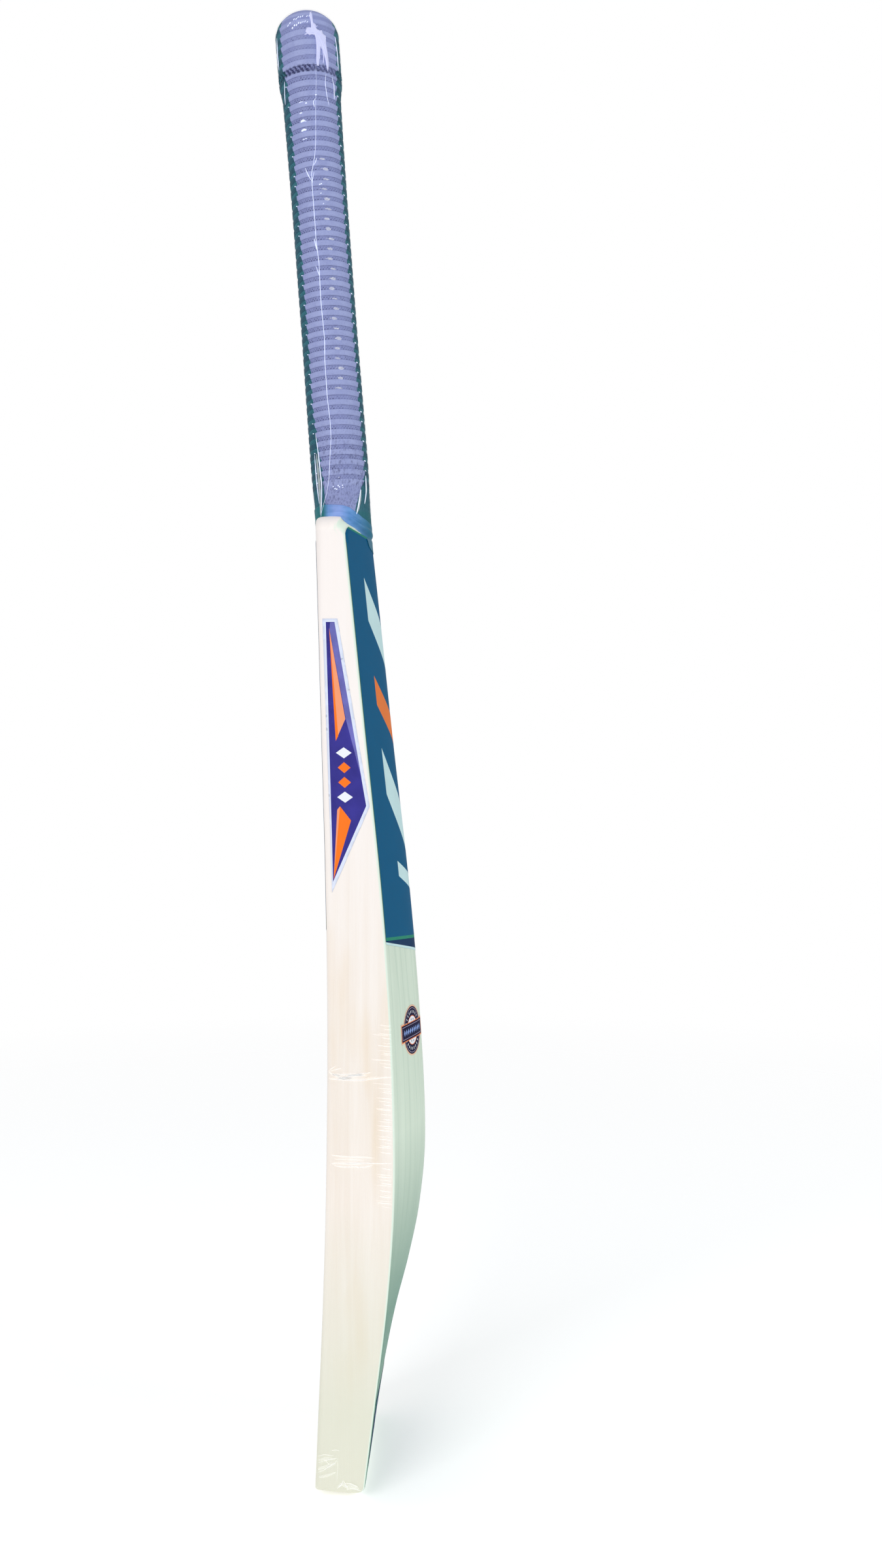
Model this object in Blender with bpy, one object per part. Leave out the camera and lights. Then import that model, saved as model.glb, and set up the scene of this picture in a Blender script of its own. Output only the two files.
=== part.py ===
"""A cricket bat in its clear shop wrapping, as the separate pieces it is made of.

The willow blade holds a V-shaped splice. The handle that fills it is twelve canes and three rubber
springs, glued side by side, bound with twine and covered by a ribbed rubber grip. Printed labels lie on
the blade, and one clear film wraps the blade and another the handle.

X runs across the blade, Y from the hitting face to the back, and Z up from the toe. The origin is the
middle of the toe's flat underside.
"""

import math

import bmesh
import bpy
from mathutils import Vector

MM = 0.001

# Clearances. Glued or resting pieces keep GAP between them.
GAP = 0.3 * MM

# Blade.
BLADE_LENGTH = 561 * MM
BLADE_HALF_WIDTH = 54 * MM
EDGE_BULGE = 0.6 * MM  # how far the middle of each edge stands out from its two corners
FACE_CROWN = 2.5 * MM  # how far the middle of the face stands out from its edges
SPINE_ROUNDING = 0.15  # the spine's soft top, as a share of the half width
TOE_MIDDLE = 14 * MM  # from the front corner line to the origin
TOE_CORNER = 14 * MM
TOE_ROUNDING = 5 * MM
SHOULDER_DROP = 14 * MM  # from the top of the blade down to where its edges run straight
SHOULDER_BEND = 4.5 * MM  # the drop of the shoulder curve's own corner
SHOULDER_LEDGE = 1.3 * MM  # the blade's flat top, beyond the foot of the grip
FACE_CORNER = ((0.0, 2.6), (0.85, 2.8), (1.0, 6.0))
BACK_CORNER = 1.8 * MM

# Lengthwise profiles: (share of the blade's length, size in millimetres), from the toe up.
BOW = ((0.0, 0.0), (0.09, 2.0), (0.20, 4.5), (0.32, 6.3), (0.46, 7.0), (0.61, 6.1), (0.77, 3.7), (1.0, 0.0))
EDGE_THICKNESS = (
    (0.0, 27.0), (0.09, 31.4), (0.20, 36.3), (0.31, 38.4), (0.43, 36.7), (0.57, 32.6), (0.77, 24.3), (1.0, 15.0),
)
SPINE = (
    (0.0, 28.2), (0.055, 32.3), (0.11, 37.5), (0.165, 44.0), (0.215, 51.4), (0.27, 57.7), (0.34, 61.2),
    (0.45, 59.0), (0.60, 52.2), (0.77, 41.5), (0.925, 32.3), (1.0, 27.6),
)
RINGS = (
    0.055, 0.08, 0.105, 0.13, 0.16, 0.19, 0.22, 0.25, 0.28, 0.31, 0.34, 0.375, 0.415, 0.46, 0.51, 0.57, 0.64,
    0.71, 0.78, 0.85, 0.92,
)
TOE_RINGS = 5
SHOULDER_RINGS = 7
FACE_COLUMNS, CORNER_STEPS, EDGE_COLUMNS, BACK_COLUMNS = 4, 2, 2, 6

# Handle. Its own Z runs up its axis from the top of the blade, leaning towards the face.
HANDLE_LENGTH = 307 * MM  # to the top of the grip
HANDLE_LEAN = math.radians(4.33)
HANDLE_AXIS_DEPTH = 12.2 * MM  # from the front corner line to the axis, at the top of the blade
HANDLE_OVAL = 1.04  # depth over width
CANE_RADIUS = 13.6 * MM  # half the handle's width
CANES_ACROSS, CANES_DEEP = 3, 4
SPRING_THICKNESS = 1.5 * MM
TWINE_THICKNESS = 0.9 * MM
ROUND_STEPS = 36

# Splice: the wedge at the handle's foot, and the slot that it fills.
SPLICE_DEPTH = 130 * MM
SPLICE_LEDGE = 1.9 * MM  # how much further out the wedge's top reaches than the round handle, on each side
SPLICE_TIP = 2.0 * MM  # half width
HANDLE_SUNK = 13 * MM  # how far the round handle runs down inside the wedge

# Grip.
GRIP_FOOT = 2.5 * MM  # above the top of the blade
GRIP_WALL = 1.4 * MM
HEM_WALL = 1.1 * MM
HEM_HEIGHT = 14 * MM
COLLAR_WALL = 3.5 * MM
COLLAR_HEIGHT = 37 * MM
COLLAR_NECK = 11 * MM
COLLAR_DOME = 18 * MM  # height of the rounded end
COLLAR_STEPS = 6
GRIP_HOLE = 5 * MM
GRIP_LIP = 7.5 * MM  # from the top of the dome down to the handle's end

# Labels, printed on vinyl.
LABEL_THICKNESS = 0.15 * MM
LABEL_MARGIN = 1.2 * MM  # clear of the rounded corners
BACK_LABEL_TOP, BACK_LABEL_BOTTOM = 12 * MM, 251 * MM  # below the top of the blade
BACK_LABEL_POINT = 12 * MM  # how far its foot dips at the spine
FACE_LABEL_TOP, FACE_LABEL_BOTTOM = 19 * MM, 242 * MM
TOE_LABEL_BOTTOM, TOE_LABEL_TOP = 17 * MM, 54 * MM  # above the toe
EDGE_LABEL = (  # (below the top of the blade, front side, back side), from the face's corner
    (66.5, 3.5, 10.2), (120.0, 3.1, 17.6), (172.5, 2.4, 25.2), (196.0, 2.6, 16.8), (219.0, 2.9, 3.7),
)
LABEL_ROWS = 9
SEAL_HEIGHT, SEAL_SIDE = 259.6 * MM, 20.2 * MM  # its middle, above the toe and beside the spine
SEAL_RADIUS = 14.6 * MM
BANNER_LENGTH, BANNER_WIDTH = 36 * MM, 11.5 * MM
BANNER_TURN = math.radians(0.5)
SEAL_STEPS = 40

# Clear film.
FILM_THICKNESS = 0.15 * MM
BLADE_FILM_BOTTOM = 1.5 * MM  # above the toe
BLADE_FILM_TOP = 18 * MM  # below the top of the blade
HANDLE_FILM_FOOT = 9 * MM  # above the foot of the grip
CROWN_STEPS = 4


def smooth(stations, share):
    """The smooth curve through a profile's stations, at a share of the blade's length, in metres."""
    last = len(stations) - 1
    i = next((k for k in range(last) if share <= stations[k + 1][0]), last - 1)

    def slope(k):
        a, b = stations[max(k - 1, 0)], stations[min(k + 1, last)]
        return (b[1] - a[1]) / (b[0] - a[0])

    (s0, v0), (s1, v1) = stations[i], stations[i + 1]
    width = s1 - s0
    t = (share - s0) / width
    rise = (2 * t**3 - 3 * t**2 + 1) * v0 + (3 * t**2 - 2 * t**3) * v1
    lean = (t**3 - 2 * t**2 + t) * slope(i) + (t**3 - t**2) * slope(i + 1)
    return (rise + lean * width) * MM


def twine_radius():
    return CANE_RADIUS + GAP


def grip_bore():
    return twine_radius() + TWINE_THICKNESS + GAP


def hem_radius():
    return grip_bore() + HEM_WALL


def corner_half_width():
    return BLADE_HALF_WIDTH - EDGE_BULGE


def front_line(z):
    """Y of the blade's front corners."""
    return smooth(BOW, z / BLADE_LENGTH) - TOE_MIDDLE


def face_y(x, z):
    share = min(abs(x) / corner_half_width(), 1)
    return front_line(z) - FACE_CROWN * (1 - share**2)


def back_y(x, z):
    """Y of the back: straight flanks that meet in a softly rounded spine."""
    edge = front_line(z) + smooth(EDGE_THICKNESS, z / BLADE_LENGTH)
    spine = smooth(SPINE, z / BLADE_LENGTH) - TOE_MIDDLE
    share = min(abs(x) / corner_half_width(), 1)
    full, soft = math.hypot(1, SPINE_ROUNDING), math.hypot(share, SPINE_ROUNDING)
    return edge + (spine - edge) * (full - soft) / (full - SPINE_ROUNDING)


def surface_normal(height, x, z, outward):
    """The unit normal of y = height(x, z), on the side that outward says."""
    step = 0.05 * MM
    across = (height(x + step, z) - height(x - step, z)) / (2 * step)
    along = (height(x, z + step) - height(x, z - step)) / (2 * step)
    return Vector((-across, 1, -along)).normalized() * outward


def bezier(a, b, c, t):
    return a * (1 - t) ** 2 + b * (2 * t * (1 - t)) + c * t**2


def shoulder_point(t):
    """(half width, height) along the shoulder, from the edge at 0 to the flat top at 1."""
    foot = Vector((corner_half_width(), BLADE_LENGTH - SHOULDER_DROP))
    bend = Vector((corner_half_width(), BLADE_LENGTH - SHOULDER_BEND))
    return bezier(foot, bend, Vector((hem_radius() + SHOULDER_LEDGE, BLADE_LENGTH)), t)


def quarter(radius, height):
    """How far a rounded foot of this radius stands in at this height."""
    if height >= radius:
        return 0
    return radius - math.sqrt(radius**2 - (radius - height) ** 2)


def blade_levels():
    """(height, half width) of each ring of the blade, from the toe up."""
    half = corner_half_width()
    toe = [TOE_CORNER * (1 - math.cos(math.pi / 2 * k / TOE_RINGS)) for k in range(TOE_RINGS)]
    levels = [(z, half - quarter(TOE_CORNER, z)) for z in toe]
    levels += [(share * BLADE_LENGTH, half) for share in RINGS]
    for k in range(SHOULDER_RINGS + 1):
        width, height = shoulder_point(k / SHOULDER_RINGS)
        levels.append((height, width))
    return levels


def half_ring(z, half):
    """The right half of the blade's section at height z, cut off at half its width, from face to back."""
    front, rear = Vector((half, face_y(half, z))), Vector((half, back_y(half, z)))
    round_front = smooth(FACE_CORNER, z / BLADE_LENGTH)
    points = []
    for k in range(FACE_COLUMNS + 1):
        x = (half - round_front) * k / FACE_COLUMNS
        points.append(Vector((x, face_y(x, z))))
    edge_start, edge_end = front + Vector((0, round_front)), rear - Vector((0, BACK_CORNER))
    start, end = points[-1], Vector((half - BACK_CORNER, back_y(half - BACK_CORNER, z)))
    points += [bezier(start, front, edge_start, k / CORNER_STEPS) for k in range(1, CORNER_STEPS + 1)]
    for k in range(1, EDGE_COLUMNS):
        share = k / EDGE_COLUMNS
        bulge = Vector((EDGE_BULGE * 4 * share * (1 - share), 0))
        points.append(edge_start.lerp(edge_end, share) + bulge)
    points += [bezier(edge_end, rear, end, k / CORNER_STEPS) for k in range(CORNER_STEPS + 1)]
    for k in range(1, BACK_COLUMNS + 1):
        x = end.x * (1 - k / BACK_COLUMNS) ** 1.25
        points.append(Vector((x, back_y(x, z))))
    return points


def blade_ring(z, half, outset=0.0):
    """The blade's whole section at height z, anticlockwise seen from above, grown by outset."""
    right = half_ring(z, half)
    left = [Vector((-p.x, p.y)) for p in right[-2:0:-1]]
    ring = right + left
    inset = quarter(TOE_ROUNDING, z)
    middle = (right[0].y + right[-1].y) / 2
    squash = 1 - 2 * inset / (right[-1].y - right[0].y)
    ring = [Vector((p.x, middle + (p.y - middle) * squash)) for p in ring]
    grown = []
    for k, p in enumerate(ring):
        along = ring[(k + 1) % len(ring)] - ring[k - 1]
        out = Vector((along.y, -along.x)).normalized() * outset
        grown.append(Vector((p.x + out.x, p.y + out.y, z)))
    return grown


def new_object(name, mesh_builder, colour, roughness, parent=None, alpha=1.0):
    """A named object from a bmesh, with its own Principled material."""
    bmesh.ops.recalc_face_normals(mesh_builder, faces=mesh_builder.faces[:])
    mesh = bpy.data.meshes.new(name)
    mesh_builder.to_mesh(mesh)
    mesh_builder.free()
    mesh.shade_smooth()
    mesh.set_sharp_from_angle(angle=math.radians(35))
    made = bpy.data.objects.new(name, mesh)
    bpy.context.scene.collection.objects.link(made)
    made.parent = parent
    material = bpy.data.materials.new(name)
    material.use_nodes = True
    shader = material.node_tree.nodes["Principled BSDF"]
    shader.inputs["Base Color"].default_value = (*colour, 1)
    shader.inputs["Roughness"].default_value = roughness
    shader.inputs["Metallic"].default_value = 0
    shader.inputs["Alpha"].default_value = alpha
    mesh.materials.append(material)
    return made


def as_cutter(helper):
    helper.hide_render = True
    helper.display_type = "WIRE"
    return helper


def add_boolean(target, other, operation):
    modifier = target.modifiers.new(f"{operation.lower()} {other.name}", "BOOLEAN")
    modifier.operation = operation
    modifier.solver = "EXACT"
    modifier.object = other


def join_rows(builder, rows, closed):
    """Quads between rows of vertices. A closed row joins its last vertex to its first."""
    for low, high in zip(rows, rows[1:]):
        count = len(low)
        for k in range(count if closed else count - 1):
            n = (k + 1) % count
            builder.faces.new((low[k], low[n], high[n], high[k]))


def loft(rows):
    """A solid through closed rows of points, with flat ends."""
    builder = bmesh.new()
    made = [[builder.verts.new(p) for p in row] for row in rows]
    join_rows(builder, made, closed=True)
    builder.faces.new(made[0])
    builder.faces.new(made[-1])
    return builder


def box(low, high):
    corners = [[(x, y, z) for x, y in ((low[0], low[1]), (high[0], low[1]), (high[0], high[1]), (low[0], high[1]))]
               for z in (low[2], high[2])]
    return loft(corners)


def shell(rows, gap, thickness, closed=False, fill_first=False):
    """A thin closed solid over rows of (point, outward normal), gap away from them.

    Closed rows make a sleeve, open at both ends, or shut at its first row by fill_first."""
    builder = bmesh.new()
    inner = [[builder.verts.new(p + n * gap) for p, n in row] for row in rows]
    outer = [[builder.verts.new(p + n * (gap + thickness)) for p, n in row] for row in rows]
    join_rows(builder, inner, closed)
    join_rows(builder, outer, closed)
    rims = [(inner[-1], outer[-1])]
    if fill_first:
        builder.faces.new(inner[0])
        builder.faces.new(outer[0])
    else:
        rims.append((inner[0], outer[0]))
    if not closed:
        for side in (0, -1):
            rims.append(([row[side] for row in inner], [row[side] for row in outer]))
    for rim in rims:
        join_rows(builder, rim, closed)
    return builder


def make_blade(slot):
    rows = [blade_ring(z, half) for z, half in blade_levels()]
    blade = new_object("blade", loft(rows), (0.86, 0.76, 0.62), 0.45)
    add_boolean(blade, slot, "DIFFERENCE")
    return blade


def splice_wedge(name, clearance):
    """The V-shaped wedge, seen from the face, deeper than the blade is thick."""
    low, high = BLADE_LENGTH - SPLICE_DEPTH - clearance, BLADE_LENGTH + 5 * MM
    widening = (CANE_RADIUS + SPLICE_LEDGE - SPLICE_TIP) / SPLICE_DEPTH
    front, rear = -60 * MM, 90 * MM
    rows = []
    for z in (low, high):
        half = SPLICE_TIP + clearance + widening * (z - low)
        rows.append([(-half, front, z), (half, front, z), (half, rear, z), (-half, rear, z)])
    return as_cutter(new_object(name, loft(rows), (0.5, 0.5, 0.5), 0.5))


def handle_frame():
    """The empty whose Z is the handle's axis, standing where the axis leaves the blade."""
    frame = bpy.data.objects.new("handle_frame", None)
    bpy.context.scene.collection.objects.link(frame)
    frame.location = (0, HANDLE_AXIS_DEPTH - TOE_MIDDLE, BLADE_LENGTH)
    frame.rotation_euler = (HANDLE_LEAN, 0, 0)
    return frame


def oval(radius, z):
    """A ring round the handle's axis, whose width is twice the radius."""
    turns = [2 * math.pi * k / ROUND_STEPS for k in range(ROUND_STEPS)]
    return [Vector((radius * math.cos(a), radius * HANDLE_OVAL * math.sin(a), z)) for a in turns]


def cane_top():
    return HANDLE_LENGTH - GRIP_LIP - GAP


def make_handle_core(frame, wedge):
    """The handle as it would be before it is split into canes: a round stick that ends in the wedge."""
    rows = [blade_ring(z, half) for z, half in blade_levels()]
    splice = as_cutter(new_object("splice_body", loft(rows), (0.5, 0.5, 0.5), 0.5))
    add_boolean(splice, wedge, "INTERSECT")
    core = loft([oval(CANE_RADIUS, -HANDLE_SUNK), oval(CANE_RADIUS, cane_top())])
    core = as_cutter(new_object("handle_core", core, (0.5, 0.5, 0.5), 0.5, frame))
    add_boolean(core, splice, "UNION")
    return core


def make_canes(frame, core):
    """Slabs of three canes each, with a rubber spring between each slab and the next."""
    bottom, top = -SPLICE_DEPTH - 10 * MM, cane_top() + 5 * MM
    side, deep = 30 * MM, 40 * MM
    layer = (2 * CANE_RADIUS * HANDLE_OVAL - (CANES_DEEP - 1) * (SPRING_THICKNESS + 2 * GAP)) / CANES_DEEP
    pitch = layer + SPRING_THICKNESS + 2 * GAP
    cane_width = 2 * CANE_RADIUS / CANES_ACROSS
    for slab in range(CANES_DEEP):
        y = (slab - (CANES_DEEP - 1) / 2) * pitch
        front = -deep if slab == 0 else y - layer / 2
        rear = deep if slab == CANES_DEEP - 1 else y + layer / 2
        for cane in range(CANES_ACROSS):
            x = (cane - CANES_ACROSS / 2) * cane_width
            left = -side if cane == 0 else x + GAP / 2
            right = side if cane == CANES_ACROSS - 1 else x + cane_width - GAP / 2
            block = box((left, front, bottom), (right, rear, top))
            made = new_object(f"cane_{slab + 1}_{'abc'[cane]}", block, (0.72, 0.56, 0.36), 0.55, frame)
            add_boolean(made, core, "INTERSECT")
        if slab < CANES_DEEP - 1:
            middle = y + pitch / 2
            low = (-side, middle - SPRING_THICKNESS / 2, bottom)
            block = box(low, (side, middle + SPRING_THICKNESS / 2, top))
            spring = new_object(f"rubber_spring_{slab + 1}", block, (0.05, 0.05, 0.05), 0.8, frame)
            add_boolean(spring, core, "INTERSECT")


def make_twine(frame):
    inner, outer = twine_radius(), twine_radius() + TWINE_THICKNESS
    low, high = GRIP_FOOT, cane_top()
    builder = bmesh.new()
    profile = ((inner, low), (outer, low), (outer, high), (inner, high))
    rows = [[builder.verts.new(p) for p in oval(r, z)] for r, z in profile]
    join_rows(builder, rows + rows[:1], closed=True)
    return new_object("twine_binding", builder, (0.80, 0.74, 0.60), 0.8, frame)


def grip_outside():
    """(radius, height) down the outside of the grip, from its hole to its foot."""
    bore = grip_bore()
    collar, body, hem = bore + COLLAR_WALL, bore + GRIP_WALL, hem_radius()
    top, low = HANDLE_LENGTH, HANDLE_LENGTH - COLLAR_HEIGHT
    profile = []
    first = math.asin((GRIP_HOLE + 1 * MM) / collar)
    for k in range(COLLAR_STEPS + 1):
        turn = first + (math.pi / 2 - first) * k / COLLAR_STEPS
        profile.append((collar * math.sin(turn), top - COLLAR_DOME * (1 - math.cos(turn))))
    profile.insert(0, (GRIP_HOLE, profile[0][1] - 1 * MM))
    profile += [(collar, low), (body + 0.3 * MM, low - COLLAR_NECK * 0.45), (body, low - COLLAR_NECK)]
    profile += [(body, GRIP_FOOT + HEM_HEIGHT), (hem, GRIP_FOOT + HEM_HEIGHT * 0.8), (hem, GRIP_FOOT)]
    return profile


def make_grip(frame):
    bore, under_lip = grip_bore(), HANDLE_LENGTH - GRIP_LIP
    inside = [(bore, GRIP_FOOT), (bore, under_lip), (GRIP_HOLE, under_lip)]
    builder = bmesh.new()
    rows = [[builder.verts.new(p) for p in oval(r, z)] for r, z in grip_outside() + inside]
    join_rows(builder, rows + rows[:1], closed=True)
    return new_object("grip", builder, (0.30, 0.32, 0.62), 0.5, frame)


def make_handle_film(frame):
    """A sleeve shrunk onto the grip and shut over its top."""
    outline = grip_outside()[1:]
    foot = outline[-1][1] + HANDLE_FILM_FOOT
    outline = [(r, z) for r, z in outline if z > foot] + [(outline[-1][0], foot)]
    crown_radius, crown_top = outline[0]
    crown = [(crown_radius * k / CROWN_STEPS, crown_top) for k in range(1, CROWN_STEPS)]
    profile = crown + outline
    rows = []
    for k, (r, z) in enumerate(profile):
        before, after = profile[max(k - 1, 0)], profile[min(k + 1, len(profile) - 1)]
        run, drop = after[0] - before[0], before[1] - after[1]
        slant = math.hypot(run, drop)
        row = []
        for p in oval(r, z):
            side = Vector((p.x, p.y, 0)).normalized()
            row.append((p, side * (drop / slant) + Vector((0, 0, run / slant))))
        rows.append(row)
    builder = shell(rows, GAP, FILM_THICKNESS, closed=True, fill_first=True)
    return new_object("handle_film", builder, (0.9, 0.93, 0.97), 0.1, frame, alpha=0.25)


def make_blade_film():
    """A sleeve round the blade and its labels, from just above the toe to below the shoulders."""
    gap = 2 * GAP + LABEL_THICKNESS
    top = BLADE_LENGTH - BLADE_FILM_TOP
    levels = [level for level in blade_levels() if BLADE_FILM_BOTTOM < level[0] < top]
    levels.append((top, corner_half_width()))
    inner = [blade_ring(z, half, gap) for z, half in levels]
    outer = [blade_ring(z, half, gap + FILM_THICKNESS) for z, half in levels]
    builder = bmesh.new()
    inner = [[builder.verts.new(p) for p in row] for row in inner]
    outer = [[builder.verts.new(p) for p in row] for row in outer]
    join_rows(builder, inner + outer[::-1] + inner[:1], closed=True)
    return new_object("blade_film", builder, (0.9, 0.93, 0.97), 0.1, alpha=0.25)


def label_columns():
    """Shares of a label's half width, closer together near the spine, from one side to the other."""
    right = [(k / BACK_COLUMNS) ** 1.25 for k in range(1, BACK_COLUMNS + 1)]
    return [-share for share in reversed(right)] + [0.0] + right


def make_wide_label(name, height, outward, top, bottom, point, corner, colour):
    """A label across the whole face or back, whose foot dips by point in the middle."""
    half = corner_half_width() - corner - LABEL_MARGIN
    rows = []
    for k in range(LABEL_ROWS + 1):
        row = []
        for share in label_columns():
            foot = bottom - point * (1 - abs(share))
            x, z = half * share, top + (foot - top) * k / LABEL_ROWS
            row.append((Vector((x, height(x, z), z)), surface_normal(height, x, z, outward)))
        rows.append(row)
    return new_object(name, shell(rows, GAP, LABEL_THICKNESS), colour, 0.25)


def edge_surface(side, depth, z):
    """A point and normal on the blade's edge, depth back from the front corner line."""
    round_front = smooth(FACE_CORNER, z / BLADE_LENGTH)
    length = smooth(EDGE_THICKNESS, z / BLADE_LENGTH) - round_front - BACK_CORNER
    share = (depth - round_front) / length
    bulge = EDGE_BULGE * 4 * share * (1 - share)
    x = corner_half_width() + bulge
    tilt = EDGE_BULGE * 4 * (1 - 2 * share) / length
    normal = Vector((side, -tilt, 0)).normalized()
    return Vector((side * x, front_line(z) + depth, z)), normal


def make_edge_label(name, side):
    """A long kite-shaped label along one edge."""
    rows = []
    for below, front, rear in EDGE_LABEL:
        z = BLADE_LENGTH - below * MM
        rows.append([edge_surface(side, (front + (rear - front) * k / 3) * MM, z) for k in range(4)])
    return new_object(name, shell(rows, GAP, LABEL_THICKNESS), (0.10, 0.10, 0.42), 0.25)


def seal_reach(turn):
    """Distance from the seal's middle to its outline: a disc with a slanting banner across it."""
    along, across = abs(math.cos(turn - BANNER_TURN)), abs(math.sin(turn - BANNER_TURN))
    banner = min(BANNER_LENGTH / 2 / max(along, 1e-6), BANNER_WIDTH / 2 / max(across, 1e-6))
    return max(SEAL_RADIUS, banner)


def make_seal():
    rows = []
    for share in (0.34, 0.67, 1.0):
        row = []
        for k in range(SEAL_STEPS):
            turn = 2 * math.pi * k / SEAL_STEPS
            reach = seal_reach(turn) * share
            x, z = SEAL_SIDE + reach * math.cos(turn), SEAL_HEIGHT + reach * math.sin(turn)
            row.append((Vector((x, back_y(x, z), z)), surface_normal(back_y, x, z, 1)))
        rows.append(row)
    builder = shell(rows, GAP, LABEL_THICKNESS, closed=True, fill_first=True)
    return new_object("quality_seal", builder, (0.06, 0.05, 0.16), 0.3)


def make_labels():
    teal, dark = (0.01, 0.09, 0.20), (0.03, 0.08, 0.09)
    face_corner = smooth(FACE_CORNER, 1)
    make_wide_label("back_label", back_y, 1, BLADE_LENGTH - BACK_LABEL_TOP - SHOULDER_BEND,
                    BLADE_LENGTH - BACK_LABEL_BOTTOM, BACK_LABEL_POINT, BACK_CORNER, teal)
    make_wide_label("face_label", face_y, -1, BLADE_LENGTH - FACE_LABEL_TOP,
                    BLADE_LENGTH - FACE_LABEL_BOTTOM, 0, face_corner, teal)
    make_wide_label("toe_label", back_y, 1, TOE_LABEL_TOP, TOE_LABEL_BOTTOM, 0, BACK_CORNER, dark)
    make_edge_label("edge_label_right", 1)
    make_edge_label("edge_label_left", -1)
    make_seal()


def main():
    for old in list(bpy.data.objects):
        bpy.data.objects.remove(old)
    frame = handle_frame()
    make_blade(splice_wedge("splice_slot", GAP))
    core = make_handle_core(frame, splice_wedge("splice_wedge", 0.0))
    make_canes(frame, core)
    make_twine(frame)
    make_grip(frame)
    make_handle_film(frame)
    make_blade_film()
    make_labels()


main()
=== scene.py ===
"""A cricket bat in its clear shop wrapping, standing on its toe and seen from its edge.

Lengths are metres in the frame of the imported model: X across the blade, Y from the hitting face to the
back, Z up from the toe.
"""

import math

import bmesh
import bpy
import numpy as np
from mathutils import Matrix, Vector, noise
from mathutils.geometry import delaunay_2d_cdt


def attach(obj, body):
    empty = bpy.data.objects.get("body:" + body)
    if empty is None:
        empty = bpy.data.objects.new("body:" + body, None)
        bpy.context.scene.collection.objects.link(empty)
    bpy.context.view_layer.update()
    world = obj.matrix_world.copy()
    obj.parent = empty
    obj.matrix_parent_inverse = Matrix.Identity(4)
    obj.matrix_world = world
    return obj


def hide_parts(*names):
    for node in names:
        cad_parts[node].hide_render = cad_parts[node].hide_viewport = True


MM = 0.001
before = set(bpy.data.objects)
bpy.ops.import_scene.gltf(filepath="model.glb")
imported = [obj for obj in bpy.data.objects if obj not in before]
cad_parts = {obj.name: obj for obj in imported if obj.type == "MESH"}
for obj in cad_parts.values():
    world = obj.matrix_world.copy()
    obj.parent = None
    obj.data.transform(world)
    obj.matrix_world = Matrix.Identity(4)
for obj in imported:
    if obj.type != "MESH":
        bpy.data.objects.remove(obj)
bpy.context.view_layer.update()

# ---------------------------------------------------------------- the blade's shape

BLADE_LENGTH = 561 * MM
BLADE_HALF_WIDTH = 54 * MM
EDGE_BULGE = 0.6 * MM
CORNER_HALF = BLADE_HALF_WIDTH - EDGE_BULGE
FACE_CROWN = 2.5 * MM
SPINE_ROUNDING = 0.15
TOE_MIDDLE = 14 * MM
TOE_CORNER = 14 * MM
TOE_FACE_ROUNDING, TOE_BACK_ROUNDING = 4.5 * MM, 8 * MM
TOE_RISE, TOE_RISE_HEIGHT = 2.2 * MM, 20 * MM
SHOULDER_DROP = 14 * MM
SHOULDER_BEND = 4.5 * MM
SHOULDER_INNER = 17.5 * MM
CARVED_FROM = 540 * MM
FACE_TOP_ROUNDING = 3.5 * MM
FACE_CORNER = ((0.0, 2.6), (0.85, 2.8), (1.0, 6.0))
BACK_CORNER = 1.8 * MM
SPLICE_DEPTH, SPLICE_HALF, SPLICE_TIP = 130 * MM, 15.5 * MM, 2 * MM
LABEL_LIFT, LABEL_THICKNESS, FILM_LIFT = 0.12 * MM, 0.08 * MM, 0.3 * MM
BOW = ((0.0, 0.0), (0.09, 2.0), (0.20, 4.5), (0.32, 6.3), (0.46, 7.0), (0.61, 6.1), (0.77, 3.7), (1.0, 0.0))
EDGE_THICKNESS = (
    (0.0, 27.0), (0.09, 31.4), (0.20, 36.3), (0.31, 38.4), (0.43, 36.7), (0.57, 32.6), (0.77, 24.3),
    (1.0, 15.0),
)
SPINE = (
    (0.0, 28.2), (0.055, 32.3), (0.11, 37.5), (0.165, 44.0), (0.215, 51.4), (0.27, 57.7), (0.34, 61.2),
    (0.45, 59.0), (0.60, 52.2), (0.77, 41.5), (0.925, 32.3), (1.0, 27.6),
)


def smooth(stations, share):
    """The smooth curve through a profile's stations, at a share of the blade's length, in metres."""
    last = len(stations) - 1
    i = next((k for k in range(last) if share <= stations[k + 1][0]), last - 1)

    def slope(k):
        a, b = stations[max(k - 1, 0)], stations[min(k + 1, last)]
        return (b[1] - a[1]) / (b[0] - a[0])

    (s0, v0), (s1, v1) = stations[i], stations[i + 1]
    width = s1 - s0
    t = (share - s0) / width
    rise = (2 * t**3 - 3 * t**2 + 1) * v0 + (3 * t**2 - 2 * t**3) * v1
    lean = (t**3 - 2 * t**2 + t) * slope(i) + (t**3 - t**2) * slope(i + 1)
    return (rise + lean * width) * MM


def front_line(z):
    """Y of the blade's front corners."""
    return smooth(BOW, z / BLADE_LENGTH) - TOE_MIDDLE


def face_y(x, z):
    share = min(abs(x) / CORNER_HALF, 1)
    return front_line(z) - FACE_CROWN * (1 - share**2)


def back_y(x, z):
    """Y of the back: straight flanks that meet in a softly rounded spine."""
    edge = front_line(z) + smooth(EDGE_THICKNESS, z / BLADE_LENGTH)
    spine = smooth(SPINE, z / BLADE_LENGTH) - TOE_MIDDLE
    share = min(abs(x) / CORNER_HALF, 1)
    full, soft = math.hypot(1, SPINE_ROUNDING), math.hypot(share, SPINE_ROUNDING)
    return edge + (spine - edge) * (full - soft) / (full - SPINE_ROUNDING)


def bezier(a, b, c, t):
    return a * (1 - t) ** 2 + b * (2 * t * (1 - t)) + c * t**2


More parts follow.
